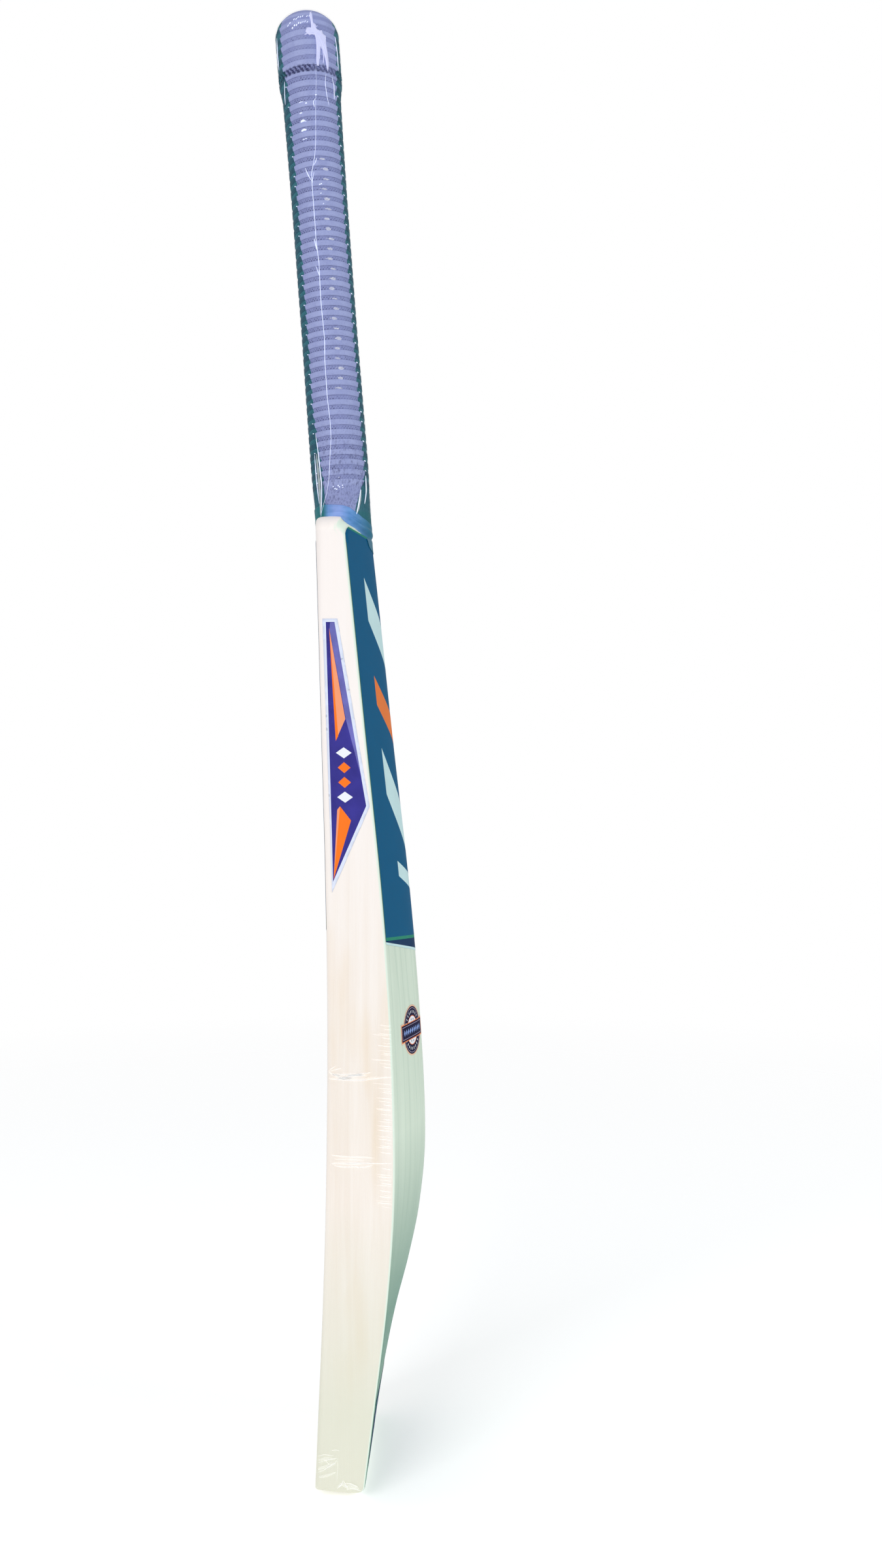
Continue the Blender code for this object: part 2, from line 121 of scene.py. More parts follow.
def shoulder_point(t):
    """(half width, height) along the shoulder, from the edge at 0 to the flat top at 1."""
    foot = Vector((CORNER_HALF, BLADE_LENGTH - SHOULDER_DROP))
    bend = Vector((CORNER_HALF, BLADE_LENGTH - SHOULDER_BEND))
    return bezier(foot, bend, Vector((SHOULDER_INNER, BLADE_LENGTH)), t)


def shoulder_half(z):
    """Half the blade's width at height z."""
    if z <= BLADE_LENGTH - SHOULDER_DROP:
        return CORNER_HALF
    low, high = 0.0, 1.0
    for _ in range(30):
        t = (low + high) / 2
        low, high = (t, high) if shoulder_point(t).y < z else (low, t)
    return shoulder_point(low).x


def quarter(radius, height):
    """How far a rounded foot of this radius stands in at this height."""
    return 0 if height >= radius else radius - math.sqrt(radius**2 - (radius - height) ** 2)


def shoulder_height(x):
    """The height of the blade's top outline at x."""
    points = [shoulder_point(k / 60) for k in range(60, -1, -1)]
    return float(np.interp(abs(x), [p.x for p in points], [p.y for p in points]))


TOP_OUTLINE = np.array([(x, shoulder_height(x * MM)) for x in np.linspace(0, 54, 109)])


def carved(x, z):
    """How far the shoulders are carved away at the back, and rounded at the face, near the blade's top."""
    below = float(np.interp(abs(x) / MM, TOP_OUTLINE[:, 0], TOP_OUTLINE[:, 1])) - z
    outer = min(max((abs(x) / MM - 18) / 27, 0), 1)
    height, depth = (11 - 7 * outer) * MM, (13 - 9.2 * outer) * MM
    back = depth * (1 - min(max(below, 0) / height, 1) ** 1.6)
    return quarter(FACE_TOP_ROUNDING, max(below, 0)), back


def back_shape(x, z):
    return back_y(x, z) - carved(x, z)[1]


def blade_levels(step):
    """(height, half width) of each ring of the blade, from the toe up."""
    toe = [TOE_CORNER * (1 - math.cos(math.pi / 2 * k / 12)) for k in range(12)]
    levels = [(z, CORNER_HALF - quarter(TOE_CORNER, z)) for z in toe]
    top = BLADE_LENGTH - SHOULDER_DROP
    count = math.ceil((top - TOE_CORNER) / step)
    levels += [(TOE_CORNER + (top - TOE_CORNER) * k / count, CORNER_HALF) for k in range(count)]
    for k in range(25):
        width, height = shoulder_point(k / 24)
        levels.append((height, width))
    return levels


def slanted(point):
    """A point near the toe, moved for the underside's slight rise towards the face."""
    x, y, z = point
    near = max(0.0, 1 - z / TOE_RISE_HEIGHT)
    share = min(max((8 * MM - y) / (22 * MM), 0.0), 1.0)
    return (x, y, z + TOE_RISE * near**2 * share)


def half_ring(z, half, face=16, corner=5, edge=12, back=22):
    """The right half of the blade's section at height z, cut off at half its width, from face to back."""
    front, rear = Vector((half, face_y(half, z))), Vector((half, back_y(half, z)))
    round_front = smooth(FACE_CORNER, z / BLADE_LENGTH)
    points = []
    for k in range(face + 1):
        x = (half - round_front) * k / face
        points.append(Vector((x, face_y(x, z))))
    edge_start, edge_end = front + Vector((0, round_front)), rear - Vector((0, BACK_CORNER))
    start, end = points[-1], Vector((half - BACK_CORNER, back_y(half - BACK_CORNER, z)))
    points += [bezier(start, front, edge_start, k / corner) for k in range(1, corner + 1)]
    for k in range(1, edge):
        share = k / edge
        points.append(edge_start.lerp(edge_end, share) + Vector((EDGE_BULGE * 4 * share * (1 - share), 0)))
    points += [bezier(edge_end, rear, end, k / corner) for k in range(corner + 1)]
    for k in range(1, back + 1):
        x = end.x * (1 - k / back) ** 1.25
        points.append(Vector((x, back_y(x, z))))
    return points


def blade_ring(z, half, outset=0.0):
    """The blade's whole section at height z, anticlockwise seen from above, grown by outset."""
    right = half_ring(z, half)
    ring = []
    for p in right:
        x = min(p.x, CORNER_HALF)
        face, back = face_y(x, z), back_y(x, z)
        off_face, off_back = carved(x, z)
        off_face += quarter(TOE_FACE_ROUNDING, z)
        off_back += quarter(TOE_BACK_ROUNDING, z)
        share = (back - face - off_face - off_back) / (back - face)
        ring.append(Vector((p.x, face + off_face + (p.y - face) * share)))
    ring += [Vector((-p.x, p.y)) for p in ring[-2:0:-1]]
    if not outset:
        return [(p.x, p.y, z) for p in ring]
    grown = []
    for k, p in enumerate(ring):
        along = ring[(k + 1) % len(ring)] - ring[k - 1]
        out = Vector((along.y, -along.x)).normalized() * outset
        grown.append((p.x + out.x, p.y + out.y, z))
    return grown


def surface_normal(height, x, z, outward):
    step = 0.05 * MM
    across = (height(x + step, z) - height(x - step, z)) / (2 * step)
    along = (height(x, z + step) - height(x, z - step)) / (2 * step)
    return Vector((-across, 1, -along)).normalized() * outward


def on_back(x, z):
    return Vector((x, back_shape(x, z), z)), surface_normal(back_shape, x, z, 1)


def on_face(x, z):
    return Vector((x, face_y(x, z), z)), surface_normal(face_y, x, z, -1)


def on_edge(side):
    """A placing function for the edge on that side: (depth from the front corner, height)."""

    def place(depth, z):
        round_front = smooth(FACE_CORNER, z / BLADE_LENGTH)
        length = smooth(EDGE_THICKNESS, z / BLADE_LENGTH) - round_front - BACK_CORNER
        share = (depth - round_front) / length
        inside = min(max(share, 0), 1)
        x = CORNER_HALF + EDGE_BULGE * 4 * inside * (1 - inside)
        if share < 0:  # round the front corner
            x -= round_front * 0.5 * (share * length / round_front) ** 2
        if share > 1:
            x -= BACK_CORNER * 0.5 * ((share - 1) * length / BACK_CORNER) ** 2
        tilt = EDGE_BULGE * 4 * (1 - 2 * inside) / length
        return Vector((side * x, front_line(z) + depth, z)), Vector((side, -tilt, 0)).normalized()

    return place


# ---------------------------------------------------------------- the handle's shape

HANDLE_LEAN = math.radians(4.33)
HANDLE_FOOT = Vector((0, (12.2 - 14) * MM, BLADE_LENGTH))
HANDLE_OVAL = 1.04
AXIS = Vector((0, -math.sin(HANDLE_LEAN), math.cos(HANDLE_LEAN)))
REAR = Vector((0, math.cos(HANDLE_LEAN), math.sin(HANDLE_LEAN)))
SIDE = Vector((1, 0, 0))
GRIP_TOP = 307 * MM
COLLAR_FOOT = 268 * MM
COLLAR_DOME = 15 * MM
RIB_PITCH = 5.9 * MM
RIBS_FOOT = 20 * MM
NOTCHES_FOOT, NOTCHES_TOP = 263.8, 268.4  # the slanting notches under the collar, in millimetres
SCUFF_TOP = 62 * MM
# Where lavender ends and the painted teal light begins, towards the face and towards the back, as the sine of
# the turn.
SLEEVE_BORDERS, COLLAR_BORDERS = (0.735, 0.875), (0.79, 0.90)
# (height up the handle, radius across it) of the rubber, in millimetres
GRIP_RADIUS = (
    (-6, 16.0), (0, 15.9), (9, 15.9), (20, 16.2), (36, 16.4), (75, 16.2), (113, 15.9), (190, 15.9),
    (229, 16.2), (252, 16.5), (257, 16.8), (262, 17.7), (267, 18.1), (292, 18.2),
)


def grip_radius(h):
    """The rubber's outside before its ribs, across the handle at height h."""
    if h > GRIP_TOP - COLLAR_DOME:
        up = min((h - GRIP_TOP + COLLAR_DOME) / COLLAR_DOME, 1)
        return GRIP_RADIUS[-1][1] * MM * math.sqrt(max(1 - up * up, 0))
    table = np.array(GRIP_RADIUS) * MM
    return float(np.interp(h, table[:, 0], table[:, 1]))


def round_handle(turn, h, radius):
    """A point at a turn from the right-hand side (+X) towards the back."""
    across, back = radius * math.cos(turn), radius * HANDLE_OVAL * math.sin(turn)
    return HANDLE_FOOT + SIDE * across + REAR * back + AXIS * h


def on_handle(u, h):
    """A point and normal on the side of the handle that faces +X, u towards the back."""
    radius = grip_radius(h) + 0.45 * MM
    turn = math.asin(max(-0.99, min(0.99, u / (radius * HANDLE_OVAL))))
    rise = (grip_radius(h + 0.5 * MM) - grip_radius(h - 0.5 * MM)) / (1 * MM)
    normal = SIDE * math.cos(turn) + REAR * math.sin(turn) - AXIS * max(-2.0, min(2.0, rise))
    return round_handle(turn, h, radius), normal.normalized()


# ---------------------------------------------------------------- materials


def srgb(r, g, b):
    """A colour given as it looks on a screen, from 0 to 255, as linear light."""
    shares = (r / 255, g / 255, b / 255)
    return tuple(c / 12.92 if c <= 0.04045 else ((c + 0.055) / 1.055) ** 2.4 for c in shares) + (1,)


class Paint:
    """A Principled material and a short way to wire nodes into it."""

    def __init__(self, name, colour, **sockets):
        self.material = bpy.data.materials.new(name)
        self.material.use_nodes = True
        self.tree = self.material.node_tree
        self.shader = self.tree.nodes["Principled BSDF"]
        self.shader.inputs["Base Color"].default_value = colour
        for socket, value in sockets.items():
            self.shader.inputs[socket.replace("_", " ")].default_value = value

    def node(self, kind, inputs=(), **settings):
        made = self.tree.nodes.new("ShaderNode" + kind)
        for key, value in settings.items():
            setattr(made, key, value)
        for key, value in dict(inputs).items():
            if isinstance(value, bpy.types.NodeSocket):
                self.tree.links.new(value, made.inputs[key])
            else:
                made.inputs[key].default_value = value
        return made

    def axes(self):
        """Object coordinates, as sockets for x, y and z."""
        return self.node("SeparateXYZ", {0: self.node("TexCoord").outputs["Object"]}).outputs

    def place(self, scale):
        """Object coordinates, stretched by scale."""
        coords = self.node("TexCoord").outputs["Object"]
        return self.node("Mapping", {"Vector": coords, "Scale": scale}).outputs["Vector"]

    def noise(self, scale, size, detail=3.0, rough=0.6):
        inputs = {"Vector": self.place(scale), "Scale": size, "Detail": detail, "Roughness": rough}
        return self.node("TexNoise", inputs).outputs["Fac"]

    def ramp(self, value, low, high, start=0.0, end=1.0):
        inputs = {"Value": value, "From Min": low, "From Max": high, "To Min": start, "To Max": end}
        return self.node("MapRange", inputs).outputs["Result"]

    def maths(self, operation, a, b=0.0):
        return self.node("Math", {0: a, 1: b}, operation=operation).outputs[0]

    def times(self, a, b):
        return self.maths("MULTIPLY", a, b)

    def mix(self, amount, a, b):
        return self.node("Mix", {0: amount, 6: a, 7: b}, data_type="RGBA").outputs[2]

    def bump(self, height, distance, strength=1.0):
        inputs = {"Height": height, "Distance": distance, "Strength": strength}
        self.link(self.node("Bump", inputs).outputs["Normal"], "Normal")

    def link(self, socket, name):
        self.tree.links.new(socket, self.shader.inputs[name])


def willow():
    """Pale willow: long fibres, faint growth lines and warm stains, with painted light: a green light cast
    and shade on the back, a painted highlight along the arrises, a paler top and a duller, greener toe.
    """
    p = Paint("willow", srgb(240, 230, 222), Roughness=0.45, Specular_IOR_Level=0.25)
    fibre = p.noise((1, 1, 0.03), 1500, 4)
    streak = p.noise((1, 1, 0.05), 150, 3)
    stain = p.noise((1, 1, 0.22), 42, 2)
    x, y, z = p.axes()
    wander = p.times(p.noise((1, 1, 0.05), 60, 1), 0.010)
    across = p.maths("ADD", p.maths("ADD", x, p.times(y, 0.35)), wander)
    rings = p.maths("SINE", p.times(across, 2 * math.pi / (7.5 * MM)))
    upper = p.ramp(z, 0.26, 0.42)
    colour = p.mix(p.ramp(streak, 0.35, 0.7), srgb(248, 239, 231), srgb(242, 230, 218))
    colour = p.mix(p.ramp(fibre, 0.45, 0.75, 0.0, 0.25), colour, srgb(236, 221, 206))
    colour = p.mix(p.ramp(stain, 0.56, 0.78, 0.0, 0.6), colour, srgb(238, 216, 188))
    colour = p.mix(p.ramp(rings, 0.80, 1.0, 0.0, 0.12), colour, srgb(222, 200, 174))
    # Painted light: paler towards the top of the blade.
    colour = p.mix(p.times(upper, 0.8), colour, srgb(252, 244, 241))
    spot = p.times(p.ramp(y, 0.016, 0.0195), p.ramp(y, 0.0235, 0.0200))
    spot = p.times(spot, p.times(p.ramp(z, 0.165, 0.20), p.ramp(z, 0.25, 0.215)))  # a warm stain on the edge
    colour = p.mix(p.times(spot, 0.38), colour, srgb(232, 208, 174))
    # Painted shade and green light: duller and greener towards the toe.
    colour = p.mix(p.ramp(z, 0.17, 0.05, 0.0, 0.9), colour, srgb(222, 222, 204))
    # Painted light: faces that turn to the back get a green light cast and some painted shade.
    towards_back = p.node("SeparateXYZ", {0: p.node("NewGeometry").outputs["Normal"]}).outputs["Y"]
    painted_green_light_back = p.mix(p.ramp(streak, 0.35, 0.7), srgb(222, 235, 217), srgb(212, 226, 208))
    painted_green_light_back = p.mix(p.ramp(rings, 0.70, 1.0, 0.0, 0.26), painted_green_light_back, srgb(178, 202, 182))
    # Painted shade: the back darker and greener towards the toe.
    painted_green_light_back = p.mix(p.ramp(z, 0.205, 0.10), painted_green_light_back, srgb(86, 138, 116))
    back = p.ramp(towards_back, 0.55, 0.85)
    # Painted highlight: a pale line along the arrises between the edges and the back.
    painted_arris_highlight = p.times(p.ramp(towards_back, 0.2, 0.45), p.ramp(towards_back, 0.9, 0.6))
    colour = p.mix(back, colour, painted_green_light_back)
    colour = p.mix(painted_arris_highlight, colour, srgb(228, 242, 228))
    p.link(colour, "Base Color")
    p.link(p.ramp(fibre, 0.3, 0.8, 0.40, 0.55), "Roughness")
    p.bump(fibre, 0.00010, 0.4)
    return p.material


def plain(name, colour, mottle, size=300, **sockets):
    """A nearly even colour with slight mottling and bump."""
    p = Paint(name, colour, **sockets)
    spots = p.noise((1, 1, 1), size, 3)
    darker = tuple(c * (1 - mottle) for c in colour[:3]) + (1,)
    p.link(p.mix(p.ramp(spots, 0.3, 0.7), colour, darker), "Base Color")
    p.bump(spots, 0.00004, 0.4)
    return p.material


def printed(name, colour, mottle=0.05):
    """Ink on satin vinyl, under the clear film."""
    return plain(name, colour, mottle, 90, Roughness=0.5, Specular_IOR_Level=0.04)


def cane_wood():
    p = Paint("cane", srgb(205, 170, 120), Roughness=0.6)
    fibre = p.noise((1, 1, 0.02), 1800, 4)
    p.link(p.mix(p.ramp(fibre, 0.35, 0.7), srgb(214, 182, 134), srgb(164, 124, 78)), "Base Color")
    p.bump(fibre, 0.0002, 0.6)
    return p.material


GRIP_LAYERS = ("lavender_vs_painted_teal_light", "painted_shade_and_wear", "band")  # what the grip's mesh says at each of its points


def grip_rubber():
    """Ribbed lavender rubber, with teal painted at its face and back sides for green side light, and painted
    shade in its dimples, ledges and notches. The mesh says where each colour, band and dimple is.
    """
    p = Paint("grip_rubber", srgb(150, 152, 205), Roughness=0.5, Specular_IOR_Level=0.22)
    side, painted_shade_and_wear, band = (p.node("Attribute", attribute_name=name).outputs["Fac"] for name in GRIP_LAYERS)
    cloud = p.noise((1, 1, 1), 160, 3)
    speck = p.noise((1, 1, 1), 1900, 2)
    lavender = p.mix(band, srgb(139, 146, 193), srgb(159, 167, 211))
    lavender = p.mix(p.ramp(cloud, 0.42, 0.72, 0.0, 0.45), lavender, srgb(134, 141, 190))
    lavender = p.mix(p.ramp(speck, 0.52, 0.72, 0.0, 0.40), lavender, srgb(116, 120, 172))
    # Painted light: the teal stands for green side light on the handle's face and back sides.
    teal = p.mix(band, srgb(44, 112, 122), srgb(22, 78, 92))
    teal = p.mix(p.ramp(speck, 0.62, 0.78, 0.0, 0.4), teal, srgb(96, 160, 168))
    colour = p.mix(p.ramp(side, 0.35, 0.65), teal, lavender)
    # Painted shade: the dark lavender and dark teal for the dimples, ledges, notches and worn places.
    painted_shade_colour = p.mix(p.ramp(side, 0.35, 0.65), srgb(8, 50, 64), srgb(44, 46, 92))
    colour = p.mix(painted_shade_and_wear, colour, painted_shade_colour)
    p.link(colour, "Base Color")
    p.bump(speck, 0.00010, 0.5)
    return p.material


def hem_rubber():
    """The grip's smooth foot: light blue at the sides, with painted light: a paler strip along the sides, and
    teal painted for green side light at the face and back.
    """
    p = Paint("grip_hem", srgb(90, 145, 200), Roughness=0.42, Specular_IOR_Level=0.3)
    fold = p.noise((1, 1, 2.2), 90, 2)
    colour = p.mix(p.ramp(fold, 0.35, 0.7), srgb(112, 158, 218), srgb(76, 130, 190))
    y = p.axes()[1]
    # Painted light: teal towards the back, for the green side light.
    turned = p.ramp(y, 0.004, 0.0155)
    colour = p.mix(turned, colour, srgb(20, 104, 128))
    # Painted light: a paler strip along the sides.
    colour = p.mix(p.times(p.ramp(y, -0.0105, -0.0060), p.ramp(y, 0.0030, -0.0030)), colour,
                   p.mix(p.ramp(fold, 0.35, 0.7), srgb(136, 164, 228), srgb(104, 138, 204)))
    # Painted light: teal towards the face, for the green side light.
    turned = p.ramp(y, -0.0100, -0.0130)
    colour = p.mix(turned, colour, srgb(16, 112, 116))
    p.link(colour, "Base Color")
    p.bump(fold, 0.0003, 0.4)
    return p.material


def clear_film(name, alpha, colour, gloss=0.05, painted_glint_glow=0.0):
    """Thin shrink film. Its alpha is one number, so that it goes with the exported model. A
    glow, where one is given, is a painted glint.
    """
    p = Paint(name, colour, Roughness=0.25, Alpha=alpha, Specular_IOR_Level=gloss, Emission_Strength=painted_glint_glow)
    p.shader.inputs["Emission Color"].default_value = colour
    p.bump(p.noise((1, 1, 0.35), 420, 2), 0.0001, 0.3)
    return p.material


def twine_cord():
    p = Paint("twine", srgb(214, 200, 168), Roughness=0.85)
    xyz = p.node("SeparateXYZ", {0: p.place((1, 1, 1))})
    turns = p.maths("SINE", p.times(xyz.outputs["Z"], 2 * math.pi / (1.0 * MM)))
    p.link(p.mix(p.ramp(turns, -1, 1), srgb(150, 130, 96), srgb(222, 208, 176)), "Base Color")
    p.bump(turns, 0.0003, 0.8)
    return p.material


# ---------------------------------------------------------------- building pieces


def finish_piece(made, nodes, slot, smooth_angle=40):
    if made.data.polygons:
        made.data.shade_smooth()
        made.data.set_sharp_from_angle(angle=math.radians(smooth_angle))
    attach(made, "root")
    if nodes:
        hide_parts(*nodes)
    if slot == "clear_film":
        made.visible_shadow = False
    return made


def new_piece(name, points, faces, materials=(), indices=None):
    mesh = bpy.data.meshes.new(name)
    mesh.from_pydata([tuple(p) for p in points], [], [tuple(f) for f in faces])
    mesh.update()
    made = bpy.data.objects.new(name, mesh)
    bpy.context.scene.collection.objects.link(made)
    for one in materials:
        mesh.materials.append(one)
    if indices is not None:
        mesh.polygons.foreach_set("material_index", np.array(indices, np.int32))
    return made


def grid_faces(rows, columns, wrap):
    """Quads over a grid of points stored row by row."""
    r = np.arange(rows - 1)[:, None] * columns
    c = np.arange(columns if wrap else columns - 1)[None, :]
    n = (c + 1) % columns
    quads = np.stack([r + c, r + n, r + columns + n, r + columns + c], axis=-1)
    return quads.reshape(-1, 4)


def inside(polygon, x, y):
    found = False
    for (x0, y0), (x1, y1) in zip(polygon, polygon[1:] + polygon[:1]):
        if (y0 > y) != (y1 > y) and x < x0 + (y - y0) * (x1 - x0) / (y1 - y0):
            found = not found
    return found


def decal(name, outline, regions, place, base, grid, nodes, slot, lift=LABEL_LIFT, thickness=LABEL_THICKNESS):
    """A thin printed sheet that lies on a surface.

    outline and each region's polygon are in the surface's own two directions, in millimetres. Later
    regions are printed over earlier ones."""
    polygons = [outline] + [polygon for polygon, _ in regions]
    materials = [base]
    for _, ink in regions:
        if ink not in materials:
            materials.append(ink)
    points, edges = [], []
    for polygon in polygons:
        start = len(points)
        corners = []
        for a, b in zip(polygon, polygon[1:] + polygon[:1]):
            pieces = max(1, math.ceil(math.dist(a, b) / grid))
            corners += [(a[0] + (b[0] - a[0]) * k / pieces,
                         a[1] + (b[1] - a[1]) * k / pieces) for k in range(pieces)]
        points += [Vector(c) for c in corners]
        edges += [(start + k, start + (k + 1) % len(corners)) for k in range(len(corners))]
    low = [min(p[i] for p in outline) for i in (0, 1)]
    high = [max(p[i] for p in outline) for i in (0, 1)]
    columns, rows = (max(2, math.ceil((high[i] - low[i]) / grid)) for i in (0, 1))
    for j in range(1, rows):
        for i in range(1, columns):
            spot = (low[0] + (high[0] - low[0]) * i / columns, low[1] + (high[1] - low[1]) * j / rows)
            if inside(outline, *spot):
                points.append(Vector(spot))
    flat, _, triangles = delaunay_2d_cdt(points, edges, [], 0, 1e-4)[:3]
    faces, indices = [], []
    for triangle in triangles:
        x = sum(flat[k].x for k in triangle) / 3
        y = sum(flat[k].y for k in triangle) / 3
        if not inside(outline, x, y):
            continue
        ink = base
        for polygon, over in regions:
            if inside(polygon, x, y):
                ink = over
        faces.append(triangle)
        indices.append(materials.index(ink))
    placed = [place(p.x * MM, p.y * MM) for p in flat]
    points = [p + n * lift for p, n in placed]
    out = placed[faces[0][0]][1]
    a, b, c = (points[k] for k in faces[0])
    if (b - a).cross(c - a).dot(out) < 0:
        faces = [tuple(reversed(f)) for f in faces]
    made = new_piece(name, points, faces, materials, indices)
    tidy = bmesh.new()
    tidy.from_mesh(made.data)
    bmesh.ops.delete(tidy, geom=[v for v in tidy.verts if not v.link_faces], context="VERTS")
    tidy.to_mesh(made.data)
    tidy.free()
    solid = made.modifiers.new("thickness", "SOLIDIFY")
    solid.thickness, solid.offset = thickness, 1
    return finish_piece(made, nodes, slot)


def strands(name, lines, place, ink, lift=FILM_LIFT):
    """Low rounded ridges on a surface. Each line is (points, width, height), in millimetres."""
    points, faces = [], []
    for line, width, height in lines:
        count = max(8, round(sum(math.dist(a, b) for a, b in zip(line, line[1:])) / 1.2))
        reach = np.cumsum([0] + [math.dist(a, b) for a, b in zip(line, line[1:])])
        spots = np.linspace(0, reach[-1], count)
        u = np.interp(spots, reach, [p[0] for p in line])
        v = np.interp(spots, reach, [p[1] for p in line])
        if count > 12:
            for _ in range(2):
                u[1:-1] = (u[:-2] + 2 * u[1:-1] + u[2:]) / 4
                v[1:-1] = (v[:-2] + 2 * v[1:-1] + v[2:]) / 4
        placed = [place(a * MM, b * MM) for a, b in zip(u, v)]
        first = len(points)
        for k, (p, n) in enumerate(placed):
            along = placed[min(k + 1, count - 1)][0] - placed[max(k - 1, 0)][0]
            cross = n.cross(along).normalized()
            wave = 1 + 0.35 * noise.noise(Vector((u[k], v[k], 3.7)) * 0.35)
            taper = math.sin(math.pi * (k + 0.35) / (count - 0.3)) ** 0.5 * wave
            w, t = width * MM / 2 * taper, height * MM * taper
            for side, up in ((-1, -0.15), (-0.6, 0.75), (0, 1), (0.6, 0.75), (1, -0.15), (0, -0.3)):
                points.append(p + n * (lift + t * up) + cross * (w * side))
        for k in range(count - 1):
            for s in range(6):
                a, b = first + 6 * k + s, first + 6 * k + (s + 1) % 6
                faces.append((a, b, b + 6, a + 6))
        faces.append([first + s for s in range(6)][::-1])
        faces.append([first + 6 * (count - 1) + s for s in range(6)])
    made = new_piece(name, points, faces, [ink])
    tidy = bmesh.new()
    tidy.from_mesh(made.data)
    bmesh.ops.recalc_face_normals(tidy, faces=tidy.faces[:])
    tidy.to_mesh(made.data)
    tidy.free()
    return finish_piece(made, [], "clear_film", 60)


# ---------------------------------------------------------------- blade


def make_blade(ink):
    rows = [blade_ring(z, half) for z, half in blade_levels(2.2 * MM)]
    columns = len(rows[0])
    points = [slanted(p) for row in rows for p in row]
    faces = [tuple(f) for f in grid_faces(len(rows), columns, True)]
    faces.append(tuple(range(columns))[::-1])
    faces.append(tuple(range(len(points) - columns, len(points))))
    made = new_piece("blade_willow", points, faces, [ink])
    slot_cutter = make_slot()
    cut = made.modifiers.new("splice slot", "BOOLEAN")
    cut.operation, cut.solver, cut.object = "DIFFERENCE", "EXACT", slot_cutter
    bpy.context.view_layer.update()
    graph = bpy.context.evaluated_depsgraph_get()
    cut_mesh = bpy.data.meshes.new_from_object(made.evaluated_get(graph))
    made.modifiers.remove(cut)
    made.data = cut_mesh
    bpy.data.objects.remove(slot_cutter)
    return finish_piece(made, ["blade"], "willow", 32)


def make_slot():
    """The V-shaped slot that the handle's splice fills."""
    gap = 0.3 * MM
    low, high = BLADE_LENGTH - SPLICE_DEPTH - gap, BLADE_LENGTH + 5 * MM
    points = []
    for z in (low, high):
        half = SPLICE_TIP + gap + (SPLICE_HALF - SPLICE_TIP) / SPLICE_DEPTH * (z - low)
        points += [(-half, -60 * MM, z), (half, -60 * MM, z), (half, 90 * MM, z), (-half, 90 * MM, z)]
    faces = [(3, 2, 1, 0), (4, 5, 6, 7), (0, 1, 5, 4), (1, 2, 6, 5), (2, 3, 7, 6), (3, 0, 4, 7)]
    made = new_piece("slot", points, faces)
    made.hide_render = True
    return made


def make_blade_film(ink):
    """The clear sleeve round the blade, drawn tight, with soft slack waves."""
    rows = []
    for z, half in blade_levels(1.6 * MM):
        if not 2.5 * MM < z <= BLADE_LENGTH - SHOULDER_DROP:
            continue
        row = []
        for x, y, h in blade_ring(z, half, FILM_LIFT):
            soft = noise.noise(Vector((x * 60, y * 60, h * 140))) * 0.08 * MM
            row.append((x + math.copysign(soft, x) * 0.5, y + soft, h))
        rows.append(row)
    columns = len(rows[0])
    points = [slanted(p) for row in rows for p in row]
    made = new_piece("blade_film_clear", points, grid_faces(len(rows), columns, True), [ink])
    return finish_piece(made, ["blade_film"], "clear_film", 60)


